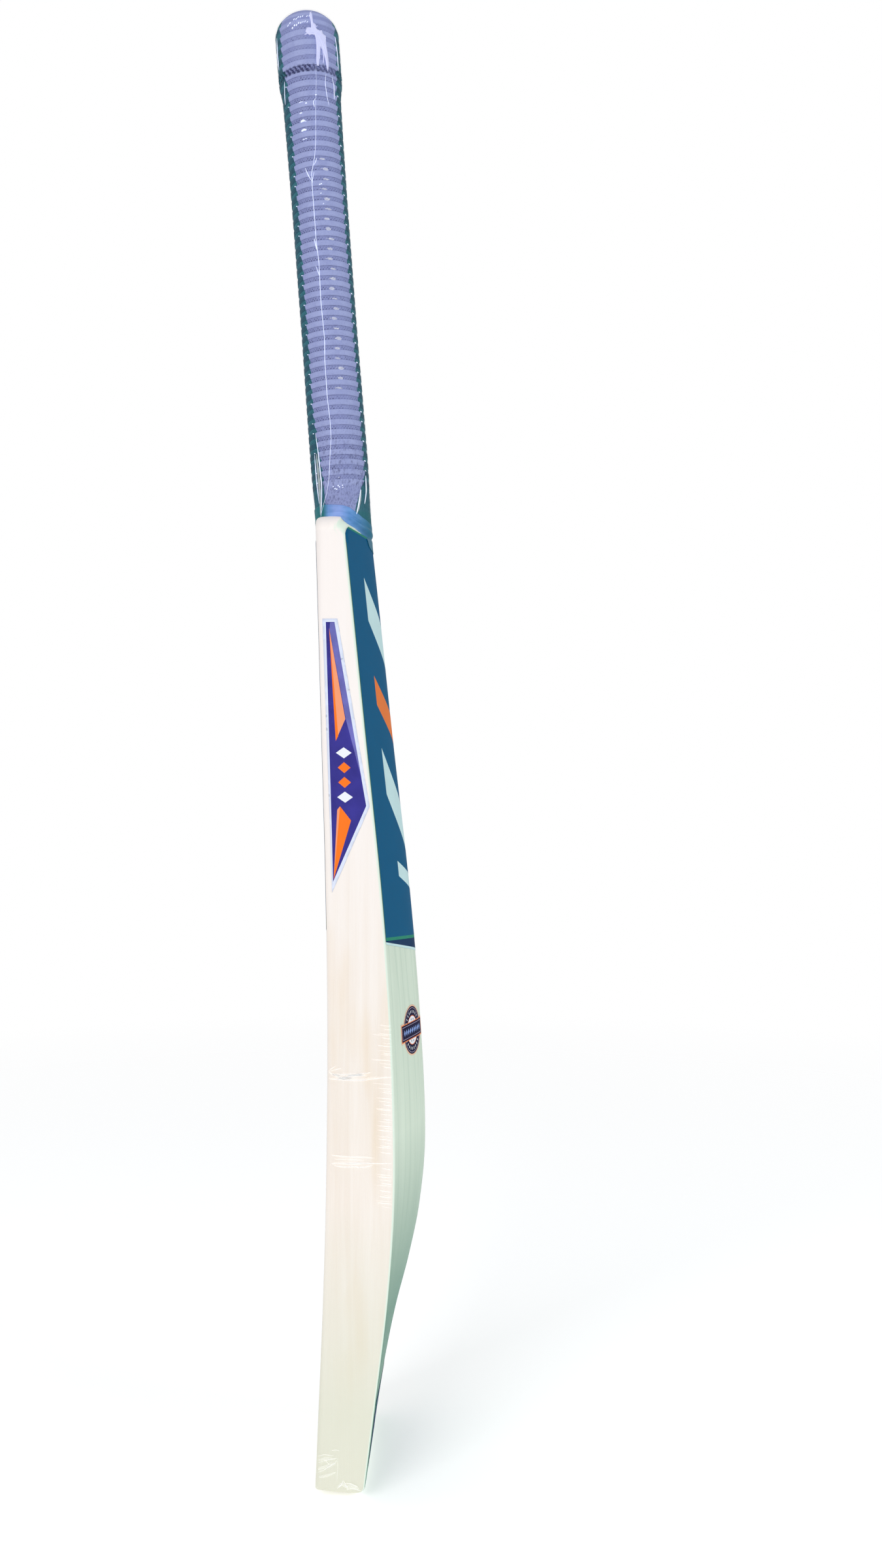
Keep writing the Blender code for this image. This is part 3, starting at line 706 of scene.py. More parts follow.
def make_blade_creases(thin, soft):
    """Where the film has gathered: two twisted bands, stretch marks by the back, puckers at the toe."""
    place = on_edge(1)

    def edge(points, z=None):
        """Y positions turned to depths behind the front corner, at height z or the nearest gather's."""
        first = points[0][1]
        z = z or (240 if first > 215 else 191 if first > 100 else 22)
        return [((y * MM - front_line(z * MM)) / MM, h) for y, h in points]

    lines = []
    for points, width in (
        (((-6.4, 242.3), (-3, 240.8), (1, 239.0), (6, 238.0)), 0.5),
        (((-5.6, 238.2), (4, 237.7), (12, 237.6), (20, 238.6), (29.0, 239.2)), 0.5),
        (((-2, 237.9), (5, 239.8), (12, 241.4), (17.5, 242.2)), 0.45),
        (((-4, 241.3), (4, 240.9), (10, 240.2), (16, 240.6)), 0.4),
        (((-6.5, 242.8), (-2, 246)), 0.35), (((-6, 242.6), (1, 244.5)), 0.35),
        (((-4.7, 190.9), (2, 191.0), (10, 191.3), (20, 191.0), (29.0, 191.0)), 0.55),
        (((-4.4, 195.6), (4, 194.8), (12, 194.6)), 0.35), (((-3, 189.6), (4, 188.9), (9, 189.7)), 0.4),
        (((8, 189.4), (12, 188.6), (18, 189.9)), 0.4),
    ):
        lines.append((edge(points), width, 0.22))
    for k in range(54):
        z = 268 - k * 1.93 + 0.5 * math.sin(k * 2.3) + 0.5 * math.sin(k * 5.1)
        if 236 < z < 244 or 189 < z < 195:
            continue
        start = 22.6 + 2.0 * math.sin(k * 1.7) - (2.5 if k % 7 == 3 else 0)
        width = 0.28 + 0.10 * math.sin(k * 3.3)
        lines.append((edge(((start, z + 0.7), (25.5, z + 0.2), (28.8, z - 0.2)), z), width, 0.12))
    for points, width in (
        (((-13.0, 26), (-9, 27.4), (-4, 27.0)), 0.3),
        (((-12.8, 22.4), (-9, 23.8), (-5, 25.0), (-1.5, 25.6)), 0.3),
        (((-12.4, 17), (-8, 19.2), (-3.4, 22.6), (-1.6, 24.4)), 0.35),
        (((-9, 25.0), (-6, 22), (-7, 18.6)), 0.25), (((-12, 20), (-8, 21.2), (-4, 23.8)), 0.25),
        (((-1.2, 25.6), (-1.0, 19), (-1.3, 13)), 0.2), (((-5, 29.8), (-2.4, 30.2), (-0.6, 29.8)), 0.3),
        (((-1, 8.6), (1.4, 10.6), (2.2, 13.2)), 0.5), (((2.2, 13.2), (4.2, 10.0), (5.4, 7.6)), 0.5),
        (((3.6, 11.6), (6.6, 11.2), (10.4, 9.4)), 0.5), (((4.4, 8.2), (8, 8.4), (12, 7.2)), 0.5),
    ):
        lines.append((edge(points), width, 0.2))
    strands("blade_film_creases", lines, place, thin)
    lines = []
    for points, width in (
        (((-6.3, 241.9), (-2, 240), (3, 238.6), (8, 238), (15, 237.8)), 2.4),
        (((-6, 238.6), (0, 238.2), (6, 239.6), (12, 241), (17, 241.8)), 2.2),
        (((-5, 240.5), (2, 240.8), (9, 240.9), (15, 240)), 2.0),
        (((12, 238.6), (20, 239.2), (28.8, 239.4)), 1.2),
        (((-4.5, 190.8), (1, 191.2), (7, 191.2), (13, 190.8)), 2.6),
        (((-4.5, 195.4), (4, 194.6), (12, 194.6), (19, 194)), 1.8),
        (((-3, 193.4), (5, 193.2), (13, 192.8)), 1.4), (((-3, 189.6), (4, 189.0), (9, 189.6)), 1.6),
        (((8, 189.2), (12, 188.8), (18, 189.8)), 1.4), (((11, 191.4), (20, 190.9), (28, 191.0)), 1.2),
        (((-12.6, 24), (-8, 25.2), (-3, 25)), 2.2), (((-12.4, 18.6), (-7, 20.6), (-2.4, 23)), 2.2),
        (((-11.6, 14.6), (-7, 15.6), (-2.2, 17.6)), 2.0), (((-0.5, 9.6), (1.8, 11.2), (4.4, 9.2)), 2.4),
        (((3.6, 9.8), (7.4, 9.8), (11, 8.2)), 2.6),
    ):
        lines.append((edge(points), 0.75 * width, 0.3))
    strands("blade_film_gathers", lines, place, soft, 0.24 * MM)


# ---------------------------------------------------------------- labels


INK_COLOURS = {
    "teal": (2, 90, 132), "pale": (206, 234, 236), "navy": (14, 52, 92), "green": (46, 140, 112),
    "dark_green": (40, 110, 95), "orange": (238, 128, 62), "indigo": (64, 58, 150),
    "bright_orange": (255, 124, 34), "soft_orange": (250, 160, 116), "painted_violet_reflection": (120, 118, 196),
    "white": (242, 244, 250), "border": (226, 232, 250), "seal_ink": (20, 12, 54),
    "seal_peach": (240, 205, 180), "seal_orange": (238, 180, 146), "seal_line": (206, 190, 214),
    "seal_blue": (150, 178, 240),
}


def mirrored(polygon):
    return [(-x, z) for x, z in polygon]


def grown(polygon, by):
    """The polygon with each edge moved out by a distance. Its corners run anticlockwise."""
    lines = []
    for (x0, y0), (x1, y1) in zip(polygon, polygon[1:] + polygon[:1]):
        length = math.dist((x0, y0), (x1, y1))
        nx, ny = (y1 - y0) / length * by, -(x1 - x0) / length * by
        lines.append(((x0 + nx, y0 + ny), (x1 - x0, y1 - y0)))
    made = []
    for (p, d), (q, e) in zip(lines[-1:] + lines[:-1], lines):
        cross = d[0] * e[1] - d[1] * e[0]
        t = ((q[0] - p[0]) * e[1] - (q[1] - p[1]) * e[0]) / cross
        reach = (p[0] + d[0] * t, p[1] + d[1] * t)
        corner = q
        if math.dist(reach, corner) > 3 * by:  # a sharp tip is cut short
            along = 3 * by / math.dist(reach, corner)
            reach = (corner[0] + (reach[0] - corner[0]) * along, corner[1] + (reach[1] - corner[1]) * along)
        made.append(reach)
    return made


def chevron(foot, top, thick, half=28, rise=None):
    """A band across the spine that points down the blade."""
    rise = (top - foot - thick) if rise is None else rise
    return [(0, foot), (half, foot + rise), (half, foot + rise + thick), (0, foot + thick),
            (-half, foot + rise + thick), (-half, foot + rise)]


def chevrons(inks):
    """The plain bands that both wide labels carry, from the top down."""
    pale, orange = inks["pale"], inks["orange"]
    return [(chevron(473, 524, 25), pale), (chevron(428, 467, 17), orange),
            (chevron(364, 425, 27), pale), (chevron(341, 359, 9, 22), pale)]


def make_back_label(inks):
    half = 52.4
    top = 550.0

    def side(z):
        return min(half, shoulder_half((z + 4.4) * MM) / MM - 0.4)

    heights = [541, 543, 544, 545, 546, 547, 548, 549, top]
    right = [(half, 313.6)] + [(side(z), z) for z in heights]
    outline = [(0, 303.7)] + right + mirrored(right)[::-1]
    low = top - 1.1
    trim = [(0, low), (side(low), low), (side(top), top), (-side(top), top), (-side(low), low)]
    strip = [(half, 316), (half, 540), (half - 0.4, 540), (half - 0.4, 316)]
    regions = [
        ([(0, 303.7), (half, 313.6), (half, 315.2), (0, 305.6), (-half, 315.2), (-half, 313.6)],
         inks["pale"]),
        ([(0, 305.2), (half, 314.9), (half, 316.2), (0, 312.2), (-half, 316.2), (-half, 314.9)],
         inks["navy"]),
        (chevron(311.6, None, 1.8, half, 4.0), inks["green"]),
        (trim, inks["green"]),
        (strip, inks["dark_green"]),
        (mirrored(strip)[::-1], inks["dark_green"]),
    ] + chevrons(inks)
    decal("back_label_print", outline, regions, on_back, inks["teal"], 5.0, ["back_label"], "label_vinyl")


def make_face_label(inks):
    half, top, foot = 47.0, 542.0, 321.0
    outline = [(-half, foot), (half, foot), (half, top), (-half, top)]
    bar = [(-half, foot + 3), (half, foot + 3), (half, foot + 6), (-half, foot + 6)]
    regions = [(bar, inks["green"])] + chevrons(inks)
    decal("face_label_print", outline, regions, on_face, inks["teal"], 6.0, ["face_label"], "label_vinyl")


def make_edge_labels(inks):
    """The kite-shaped labels on the edges, with two orange blades and a row of plain lozenges between."""
    kite = [(4.2, 349.0), (23.9, 391.7), (9.1, 495.0), (4.2, 495.0)]
    upper = [(6.0, 491.5), (7.9, 428.2), (13.6, 440.5)]
    lower = [(4.6, 350.5), (15.2, 383.5), (9.2, 391.5)]
    # Painted reflection: a paler violet where the film over the indigo catches the light.
    painted_label_reflection = [(6.2, 491.0), (6.6, 494.8), (9.1, 494.8), (21.8, 407.0), (14.0, 440.0)]
    regions = [(kite, inks["indigo"]), (painted_label_reflection, inks["painted_violet_reflection"]), (upper, inks["soft_orange"]),
               ([(6.0, 491.5), (6.9, 460), (7.9, 428.2), (9.4, 431)], inks["bright_orange"]),
               (lower, inks["bright_orange"]),
               ([(4.6, 350.5), (9.2, 391.5), (7.6, 389.5)], inks["soft_orange"])]
    for z, wide, ink in ((421.5, 4.4, "white"), (413.2, 3.6, "bright_orange"), (404.9, 3.6, "bright_orange"),
                         (396.6, 4.4, "white")):
        regions.append(([(12.2 - wide, z), (12.2, z - 3.1), (12.2 + wide, z), (12.2, z + 3.1)], inks[ink]))
    for name, side in (("right", 1), ("left", -1)):
        decal(f"edge_label_{name}_print", grown(kite, 1.9), regions, on_edge(side), inks["border"], 2.5,
              [f"edge_label_{name}"], "edge_vinyl")


def make_toe_label(inks):
    outline = [(-50, 19), (50, 19), (50, 56), (-50, 56)]
    regions = [([(-50, 50), (50, 50), (50, 52), (-50, 52)], inks["green"])]
    decal("toe_label_print", outline, regions, on_back, inks["navy"], 5.0, ["toe_label"], "toe_vinyl")


def make_seal(inks):
    """A round sticker: a dark ring with plain ticks, a pale middle, and a band across it."""
    cx, cz, tilt = 20.2, 259.6, math.radians(0.5)

    def disc(radius, steps=56):
        return [(cx + radius * math.cos(2 * math.pi * k / steps),
                 cz + radius * math.sin(2 * math.pi * k / steps))
                for k in range(steps)]

    def turned(turn, corners):
        c, s = math.cos(turn), math.sin(turn)
        return [(cx + a * c - b * s, cz + a * s + b * c) for a, b in corners]

    def banner(length, width):
        return turned(tilt, ((-length, -width), (length, -width), (length, width), (-length, width)))

    regions = [
        (disc(14.1), inks["seal_orange"]), (disc(13.8), inks["seal_ink"]), (disc(12.9), inks["seal_line"]),
        (disc(12.7), inks["seal_ink"]), (disc(8.5), inks["orange"]), (disc(8.1), inks["white"]),
    ]
    for k in range(26):
        if k % 13 in (0, 12, 1):
            continue
        tick = ((9.9, -0.32), (11.5, -0.32), (11.5, 0.32), (9.9, 0.32))
        regions.append((turned(2 * math.pi * k / 26 + tilt, tick), inks["white"]))
    for turn in (80, 110, 140, 260, 290, 320):
        c, s = math.cos(math.radians(turn)), math.sin(math.radians(turn))
        x, z = cx + 6.4 * c, cz + 6.4 * s
        regions.append(([(x - 0.6, z), (x, z - 0.8), (x + 0.6, z), (x, z + 0.8)], inks["seal_ink"]))
    regions += [(banner(17.5, 5.1), inks["orange"]), (banner(17.0, 4.6), inks["seal_ink"]),
                (banner(15.9, 3.6), inks["seal_line"]), (banner(15.7, 3.4), inks["seal_ink"])]
    for k in range(9):
        a = -12.4 + 3.1 * k
        regions.append((turned(tilt, ((a - 1.1, 0), (a, -1.9), (a + 1.1, 0), (a, 1.9))), inks["seal_blue"]))
    turns = [2 * math.pi * k / 240 for k in range(240)]
    outline = []
    for turn in turns:
        along, across = abs(math.cos(turn - tilt)), abs(math.sin(turn - tilt))
        reach = max(14.7, min(18.2 / max(along, 1e-6), 5.8 / max(across, 1e-6)))
        outline.append((cx + reach * math.cos(turn), cz + reach * math.sin(turn)))
    decal("quality_seal_print", outline, regions, on_back, inks["seal_peach"], 3.0, ["quality_seal"],
          "seal_vinyl")


# ---------------------------------------------------------------- grip


RIB_ROWS = (0.0, 0.12, 0.27, 0.42, 0.50, 0.56, 0.64, 0.72, 0.80, 0.88, 0.97)  # from a band's foot, in pitches


def grip_levels():
    """(height, place within its rib) of each ring of the grip's mesh."""
    levels = [(h * MM, None) for h in np.arange(-4.0, RIBS_FOOT / MM, 0.75)]
    ribs = round((GRIP_TOP - COLLAR_DOME - RIBS_FOOT) / RIB_PITCH)
    for k in range(ribs):
        levels += [(RIBS_FOOT + RIB_PITCH * (k + share), share) for share in RIB_ROWS]
    top = RIBS_FOOT + RIB_PITCH * ribs
    dome = [GRIP_TOP - COLLAR_DOME * (1 - math.sin(math.pi / 2 * k / 40)) for k in range(1, 38)]
    return levels + [(h, ((h - top) / RIB_PITCH) % 1.0) for h in dome if h > top]


def make_grip(ink):
    """The ribbed sleeve: raised smooth bands with two rows of dimples between, and a collar with a dome."""
    columns = 240
    turns = 2 * np.pi * np.arange(columns) / columns
    points, marks = [], []  # each mark is a point's lavender against painted teal light, its painted shade and wear, and its band
    for h, share in grip_levels():
        radius = grip_radius(h)
        rib = int((h - RIBS_FOOT) // RIB_PITCH)
        on_collar = h > COLLAR_FOOT
        relief = 0.5 if on_collar else min(1.0, max(0.0, 0.55 + (h - RIBS_FOOT) / (40 * MM)))
        for j, turn in enumerate(turns):
            around = math.sin(turn)
            grain = noise.noise(Vector((j * 0.8, h * 1300, 1.3)))
            if share is None:  # the plain granular foot
                lift, painted_shade_and_wear_amount, raised = 0.22 * grain * MM, max(0.0, -grain - 0.06) * 1.2 * (h > 6 * MM), 0.4
                q = 0.5
            else:
                raised = 1.0 if share <= 0.50 else 0.0
                q = (share - 0.53) % 1.0
                dimple = 0.0
                chance = noise.noise(Vector(((j + 2 * (share > 0.7)) // 4 * 3.1, rib * 5.3, 8.2)))
                if share == 0.64 and j % 4 < 2:
                    dimple = 1.0 + 1.0 * chance
                if share == 0.80 and j % 4 >= 2:
                    dimple = 0.7 + 1.1 * chance
                dimple = max(0.0, dimple) * (1.0 if around < 0.05 else 0.62)
                # Painted shadow: a thin dark line under the foot of each raised band, and a fainter one above
                # its top.
                painted_ledge_shadow = 0.42 if share == 0.97 else 0.16 if share == 0.56 else 0.0
                lift = (0.24 * raised + 0.05 * grain - 0.34 * min(dimple, 1)) * relief * MM
                # Painted shade and dirt in the dimples, with the painted shadow lines.
                painted_shade_and_wear_amount = (0.85 * dimple + painted_ledge_shadow * (1 + grain)) * max(relief, 0.5)
                if h < SCUFF_TOP:
                    scuff = noise.noise(Vector((j * 0.42, h * 620, 4.4)))
                    worn = (SCUFF_TOP - h) / (SCUFF_TOP - RIBS_FOOT)
                    painted_shade_and_wear_amount += max(0.0, abs(scuff) - 0.24) * 1.6 * worn
                    lift += 0.20 * scuff * worn * MM
            # A ring of slanting notches under the collar, painted dark inside, with painted shadow between
            # them along their lower part.
            if NOTCHES_FOOT * MM < h < NOTCHES_TOP * MM:
                slot = (j + (h / MM - NOTCHES_FOOT) * 1.6 + 1.5 * grain) % 6.0
                if slot < 3.2:
                    lift, painted_shade_and_wear_amount = -0.55 * MM, 1.0 if around < 0.1 else 0.7
                elif h < 265.4 * MM:
                    painted_shade_and_wear_amount = 0.5
            points.append(round_handle(turn, h, radius + lift))
            # Lavender on both sides; teal painted along the face and the back for green side light, with a
            # saw-toothed border.
            border = (COLLAR_BORDERS if on_collar else SLEEVE_BORDERS)[around >= 0]
            if around < 0:  # the border runs in towards the foot
                border -= 0.18 * min(1.0, max(0.0, (65 * MM - h) / (40 * MM)))
            else:
                border -= 0.38 * min(1.0, max(0.0, (25 * MM - h) / (20 * MM)))
            tooth = 0.030 * (q - 0.5) * 2 + 0.008 * grain
            marks.append((0.5 + (border + tooth - abs(around)) * 22, painted_shade_and_wear_amount, raised))
    rows = len(points) // columns
    faces = [tuple(f) for f in grid_faces(rows, columns, True)]
    # The open end: over the lip and down to the handle's end, with a little painted shade.
    for radius, h in ((5.4, 306.0), (5.0, 305.0), (5.0, 300.2)):
        for turn in turns:
            points.append(round_handle(turn, h * MM, radius * MM))
            marks.append((1.0, 0.3, 0.0))
    faces += [tuple(f) for f in grid_faces(4, columns, True) + (rows - 1) * columns]
    made = new_piece("grip_sleeve", points, faces, [ink])
    for name, values in zip(GRIP_LAYERS, zip(*marks)):
        layer = made.data.attributes.new(name, "FLOAT", "POINT")
        layer.data.foreach_set("value", np.clip(np.array(values, np.float32), 0, 1))
    return finish_piece(made, ["grip"], "grip_rubber", 60)


# (turn from the side towards the back in degrees; the hem's top, fold and foot up the handle, in millimetres)
HEM = (
    (-90, 9.0, 2.0, -5.0), (-60, 9.4, 2.6, -3.6), (-42, 9.6, 3.6, 1.0), (-27, 9.0, 3.4, 1.4),
    (-10, 8.3, 2.8, 0.8), (4, 7.6, 2.4, -1.6), (16, 6.4, 1.0, -6.4), (26, 4.4, -1.4, -12.0),
    (46, 0.6, -4.6, -17.2), (70, -2.0, -6.4, -19.0), (90, -3.0, -7.2, -19.4),
)


def make_hem(ink):
    """The sleeve's smooth foot, which drapes over the shoulders and hangs lower at the back."""
    columns, rows = 180, 44
    table = np.array(HEM)
    grid = np.zeros((rows, columns, 3))
    for j in range(columns):
        turn = 2 * math.pi * j / columns
        degrees = math.degrees(math.asin(math.sin(turn)))
        top, crease, foot = (float(np.interp(degrees, table[:, 0], table[:, k])) * MM for k in (1, 2, 3))
        for i in range(rows):
            h = top + (foot - top) * i / (rows - 1)
            roll = math.exp(-((h - crease + 0.9 * MM) / (1.1 * MM)) ** 2)
            roll -= 0.7 * math.exp(-((h - crease - 0.8 * MM) / (0.7 * MM)) ** 2)
            strength = min(1.0, max(0.15, (degrees + 25) / 50))
            ripple = noise.noise(Vector((math.cos(turn) * 2.4, math.sin(turn) * 2.4, h * 190 + 5)))
            lip = 0.12 * MM * math.exp(-((h - foot) / (0.8 * MM)) ** 2)
            hug = 1.0 if degrees < 40 else 1.0 - 0.85 * (degrees - 40) / 50
            thick = (0.42 * MM + 1.0 * MM * roll * strength + 0.35 * MM * ripple * (i / rows) + lip) * hug
            if i == 0:
                thick = 0.0
            p = np.array(round_handle(turn, h, grip_radius(9 * MM) + thick))
            # Its foot is drawn in against the back, and where it would run into the wood, it lies on it.
            if degrees > 12:
                drawn = min(1.0, max(0.0, (i / (rows - 1) - 0.42) / 0.5))
                drawn = drawn * (2 - drawn) * min(1.0, (degrees - 12) / 30)
                lies = back_shape(min(abs(p[0]), 30 * MM), min(p[2], BLADE_LENGTH)) + 0.30 * MM
                if p[1] > lies:
                    p[1] += (lies - p[1]) * drawn
            z = min(p[2], BLADE_LENGTH - 0.01 * MM)
            x = min(abs(p[0]), 30 * MM)
            clear = 0.30 * MM + max(thick, 0) * 0.45
            if p[2] < BLADE_LENGTH + clear and face_y(x, z) < p[1] < back_shape(x, z) + clear:
                if p[1] > 1.5 * MM:
                    p[1] = back_shape(x, z) + clear
                elif p[1] < -11 * MM:
                    p[1] = face_y(x, z) - clear
                else:
                    p[2] = BLADE_LENGTH + clear
            grid[i, j] = p
    for _ in range(4):
        near = (np.roll(grid, 1, 1) + np.roll(grid, -1, 1)) / 2
        grid[6:] = 0.5 * grid[6:] + 0.5 * near[6:]
        grid[6:-1] = 0.6 * grid[6:-1] + 0.2 * (grid[5:-2] + grid[7:])
    made = new_piece("grip_hem", grid.reshape(-1, 3), grid_faces(rows, columns, True)[:, ::-1], [ink])
    solid = made.modifiers.new("thickness", "SOLIDIFY")
    solid.thickness, solid.offset = 0.25 * MM, 0
    return finish_piece(made, [], "grip_rubber", 60)


def make_handle_film(ink):
    """The clear sleeve over the grip, drawn in between the ribs and shut over the dome."""
    columns = 120
    heights = list(np.arange(4, 289, 1.2) * MM)
    heights += [GRIP_TOP - COLLAR_DOME * (1 - math.sin(math.pi / 2 * k / 24)) for k in range(1, 24)]
    points = []
    for h in heights:
        phase = ((h - RIBS_FOOT) / RIB_PITCH) % 1.0
        for j in range(columns):
            turn = 2 * math.pi * j / columns
            soft = noise.noise(Vector((math.cos(turn) * 3, math.sin(turn) * 3, h * 60)))
            radius = grip_radius(h) + (0.62 + 0.10 * math.cos(2 * math.pi * (phase - 0.7)) + 0.12 * soft) * MM
            if h > GRIP_TOP - COLLAR_DOME:
                radius = grip_radius(h) + 0.6 * MM
            points.append(round_handle(turn, h + (0.5 * MM if h > GRIP_TOP - COLLAR_DOME else 0), radius))
    faces = [tuple(f) for f in grid_faces(len(heights), columns, True)]
    points.append(round_handle(0, GRIP_TOP + 0.5 * MM, 0))
    last = (len(heights) - 1) * columns
    faces += [(last + j, last + (j + 1) % columns, len(points) - 1) for j in range(columns)]
    made = new_piece("handle_film_clear", points, faces, [ink])
    return finish_piece(made, ["handle_film"], "clear_film", 60)


def make_handle_creases(ink, tucked, white):
    """The film's welded seam down the near side, with creases, streaks and the crushed tuck at its top, and
    painted glints and painted reflections on the film.
    """
    seam = [(5.0, 268), (4.6, 259.8), (3.0, 244.4), (1.6, 224), (0.2, 214), (-2.5, 203.5), (-2.6, 190),
            (-2.6, 175), (-2.7, 164), (-2.0, 152), (-2.6, 129), (-2.1, 105.6), (-2.9, 94), (-3.1, 71),
            (-2.5, 59), (-2.6, 47.7), (-4.2, 36.2), (-5.5, 24.7), (-7.6, 16), (-10.1, 9.6), (-12.8, 2.6)]
    lines = [(seam, 0.44, 0.5)]
    for points, width in (
        (((10.4, 263), (9.4, 258), (9.8, 250), (10.6, 245)), 0.3),
        (((-5.9, 208), (-4.6, 204), (-2.8, 200)), 0.5), (((-0.9, 205), (-2.0, 201), (-2.7, 197)), 0.4),
        (((2.2, 243), (1.8, 246), (3.0, 248)), 0.5), (((1.2, 213), (0.6, 211), (-0.6, 209)), 0.5),
        (((-3.8, 166), (-3.2, 162), (-2.7, 159)), 0.5), (((-4.0, 150), (-3.2, 147), (-2.1, 143)), 0.4),
        (((-13.4, 40), (-13.4, 24), (-12.9, 10.8)), 0.6),
        (((-11.8, 52), (-11.0, 40), (-10.4, 21), (-11.2, 12), (-12.3, 3.0)), 0.7),
        (((12.0, 17), (11.0, 11), (9.8, 6), (8.6, 2.1)), 0.6), (((15.4, 26), (15.0, 16), (13.6, 8.8)), 0.6),
        (((13.6, 262), (14.2, 258), (13.8, 250)), 0.4), (((-14.4, 262), (-15.0, 256), (-15.2, 250)), 0.4),
        (((-17.2, 290), (-17.6, 280), (-17.4, 271)), 0.5), (((17.0, 288), (17.5, 279), (17.4, 268)), 0.5),
    ):
        lines.append((points, width, 0.35))
    # Painted glints: small white specks where the lavender meets the painted teal light.
    for side, border in ((-1, 0.74), (1, 0.88)):
        for k in range(41):
            h = (RIBS_FOOT + RIB_PITCH * (k + 0.53)) / MM
            u = side * (border * grip_radius(h * MM) / MM * HANDLE_OVAL + 0.6)
            if (k * 7 + (side > 0) * 3) % 5 < 3:
                lines.append((((u - 0.35, h + 0.1 * side), (u + 0.35, h - 0.35 + 0.1 * side)), 0.55, 0.3))
    strands("handle_film_seam", lines, on_handle, ink, 0.25 * MM)
    tuck = [
        (((4.4, 300.0), (4.0, 296), (4.6, 292), (6.2, 288), (7.6, 284.6)), 1.2),
        (((1.2, 288.6), (3.2, 288.4), (5.6, 286.6)), 1.5),
        (((1.2, 285.9), (3.6, 286.8), (6.4, 286.4), (8.4, 284)), 1.5),
        (((6.2, 289.4), (7.2, 286.4), (9.6, 285.4), (11.8, 283.6)), 1.5),
        (((5.2, 288), (6.6, 283), (6.6, 277), (5.9, 271), (5.6, 266.8)), 1.1),
        (((7.8, 285), (9.4, 281), (10.6, 276), (11.2, 270), (11.5, 264.6)), 1.3),
        (((7.2, 285), (9.0, 282.6), (11.0, 279.6), (11.6, 275)), 1.4),
        (((6.6, 283.4), (8.2, 280.4), (9.4, 276.4)), 1.0), (((6.8, 281), (7.0, 276), (7.6, 270.8)), 0.8),
        (((4.2, 291.8), (6.4, 289.6), (7.6, 290.4)), 0.8), (((9.4, 277), (9.8, 272), (9.2, 268.4)), 0.7),
        (((-0.2, 284.8), (1.6, 285.6)), 0.7),
    ]
    strands("handle_film_tuck", [(p, w, 0.5) for p, w in tuck], on_handle, tucked)
    patch = [(4.2, 299.5), (3.6, 299), (3.2, 296), (3.9, 292.5), (3.8, 289), (2.6, 288), (1.2, 288.6),
             (0.4, 286.6), (1.4, 285.4), (2.6, 284.4), (4.2, 285), (5.6, 284.4), (6.4, 281), (5.9, 277),
             (6.0, 272), (5.4, 266.8), (6.6, 266.5), (7.2, 270), (8.0, 275), (8.6, 279), (9.6, 276),
             (10.6, 271), (11.0, 265.5), (11.9, 265.5), (12.4, 270), (12.0, 276.5), (11.6, 281),
             (11.8, 285.4), (10.6, 286), (9.6, 288.2), (8.6, 287.6), (6.8, 288.6), (6.6, 291), (5.2, 292),
             (5.0, 297)]
    flat = decal("handle_film_crush", patch, [], on_handle, tucked, 1.0, [], "clear_film",
                 0.35 * MM, 0.12 * MM)
    for v in flat.data.vertices:
        lump = noise.noise(v.co * 620) + 0.6 * noise.noise(v.co * 1500)
        v.co += SIDE * lump * 0.3 * MM
    # Painted glints: white specks on the tuck, on the left of the grip and at its foot.
    glints = []
    for k in range(11):
        u = -9.6 + 1.28 * k
        h = 296.2 - 0.035 * (u - 1) ** 2 + 0.3 * math.sin(2.7 * k)
        if k not in (2, 8):
            glints.append((((u - 0.35, h - 0.5), (u + 0.45, h + 0.5)), 0.5))
        if 2 <= k <= 9:
            glints.append((((u - 0.3, h - 4.2), (u + 0.4, h - 3.2)), 0.75 if k < 7 else 0.4))
    for u, h, wide, tall in ((-5.4, 246.8, 2.6, 0.5), (-2.4, 245.6, 1.0, 0.9), (-5.9, 240.4, 1.6, 0.8),
                             (-5.2, 235.6, 2.6, 1.5), (-3.4, 235.2, 0.7, 0.6), (-4.9, 230.2, 3.2, 1.3),
                             (-5.4, 224.8, 1.2, 0.6), (-4.0, 225.0, 0.8, 0.6), (3.6, 250.2, 1.2, 0.6)):
        glints.append((((u - wide / 2, h - 0.25 * tall), (u, h + 0.2 * tall),
                        (u + wide / 2, h - 0.1 * tall)), tall))
    for u, h, bright in ((1.9, 197.4, 0.9), (2.8, 197.8, 0.8), (2.2, 192.2, 0.6), (3.2, 186.0, 0.5),
                         (-3.6, 18.9, 0.6), (-2.6, 17.6, 0.8), (-1.6, 17.2, 0.8), (-0.6, 19.2, 0.8),
                         (0.1, 18.4, 0.7), (1.9, 19.2, 0.6), (2.0, 17.9, 0.5), (0.2, 24.0, 0.4)):
        glints.append((((u - 0.35, h - 0.3), (u + 0.35, h + 0.3)), bright))
    strands("handle_film_glints", [(p, w, 0.35) for p, w in glints], on_handle, ink)
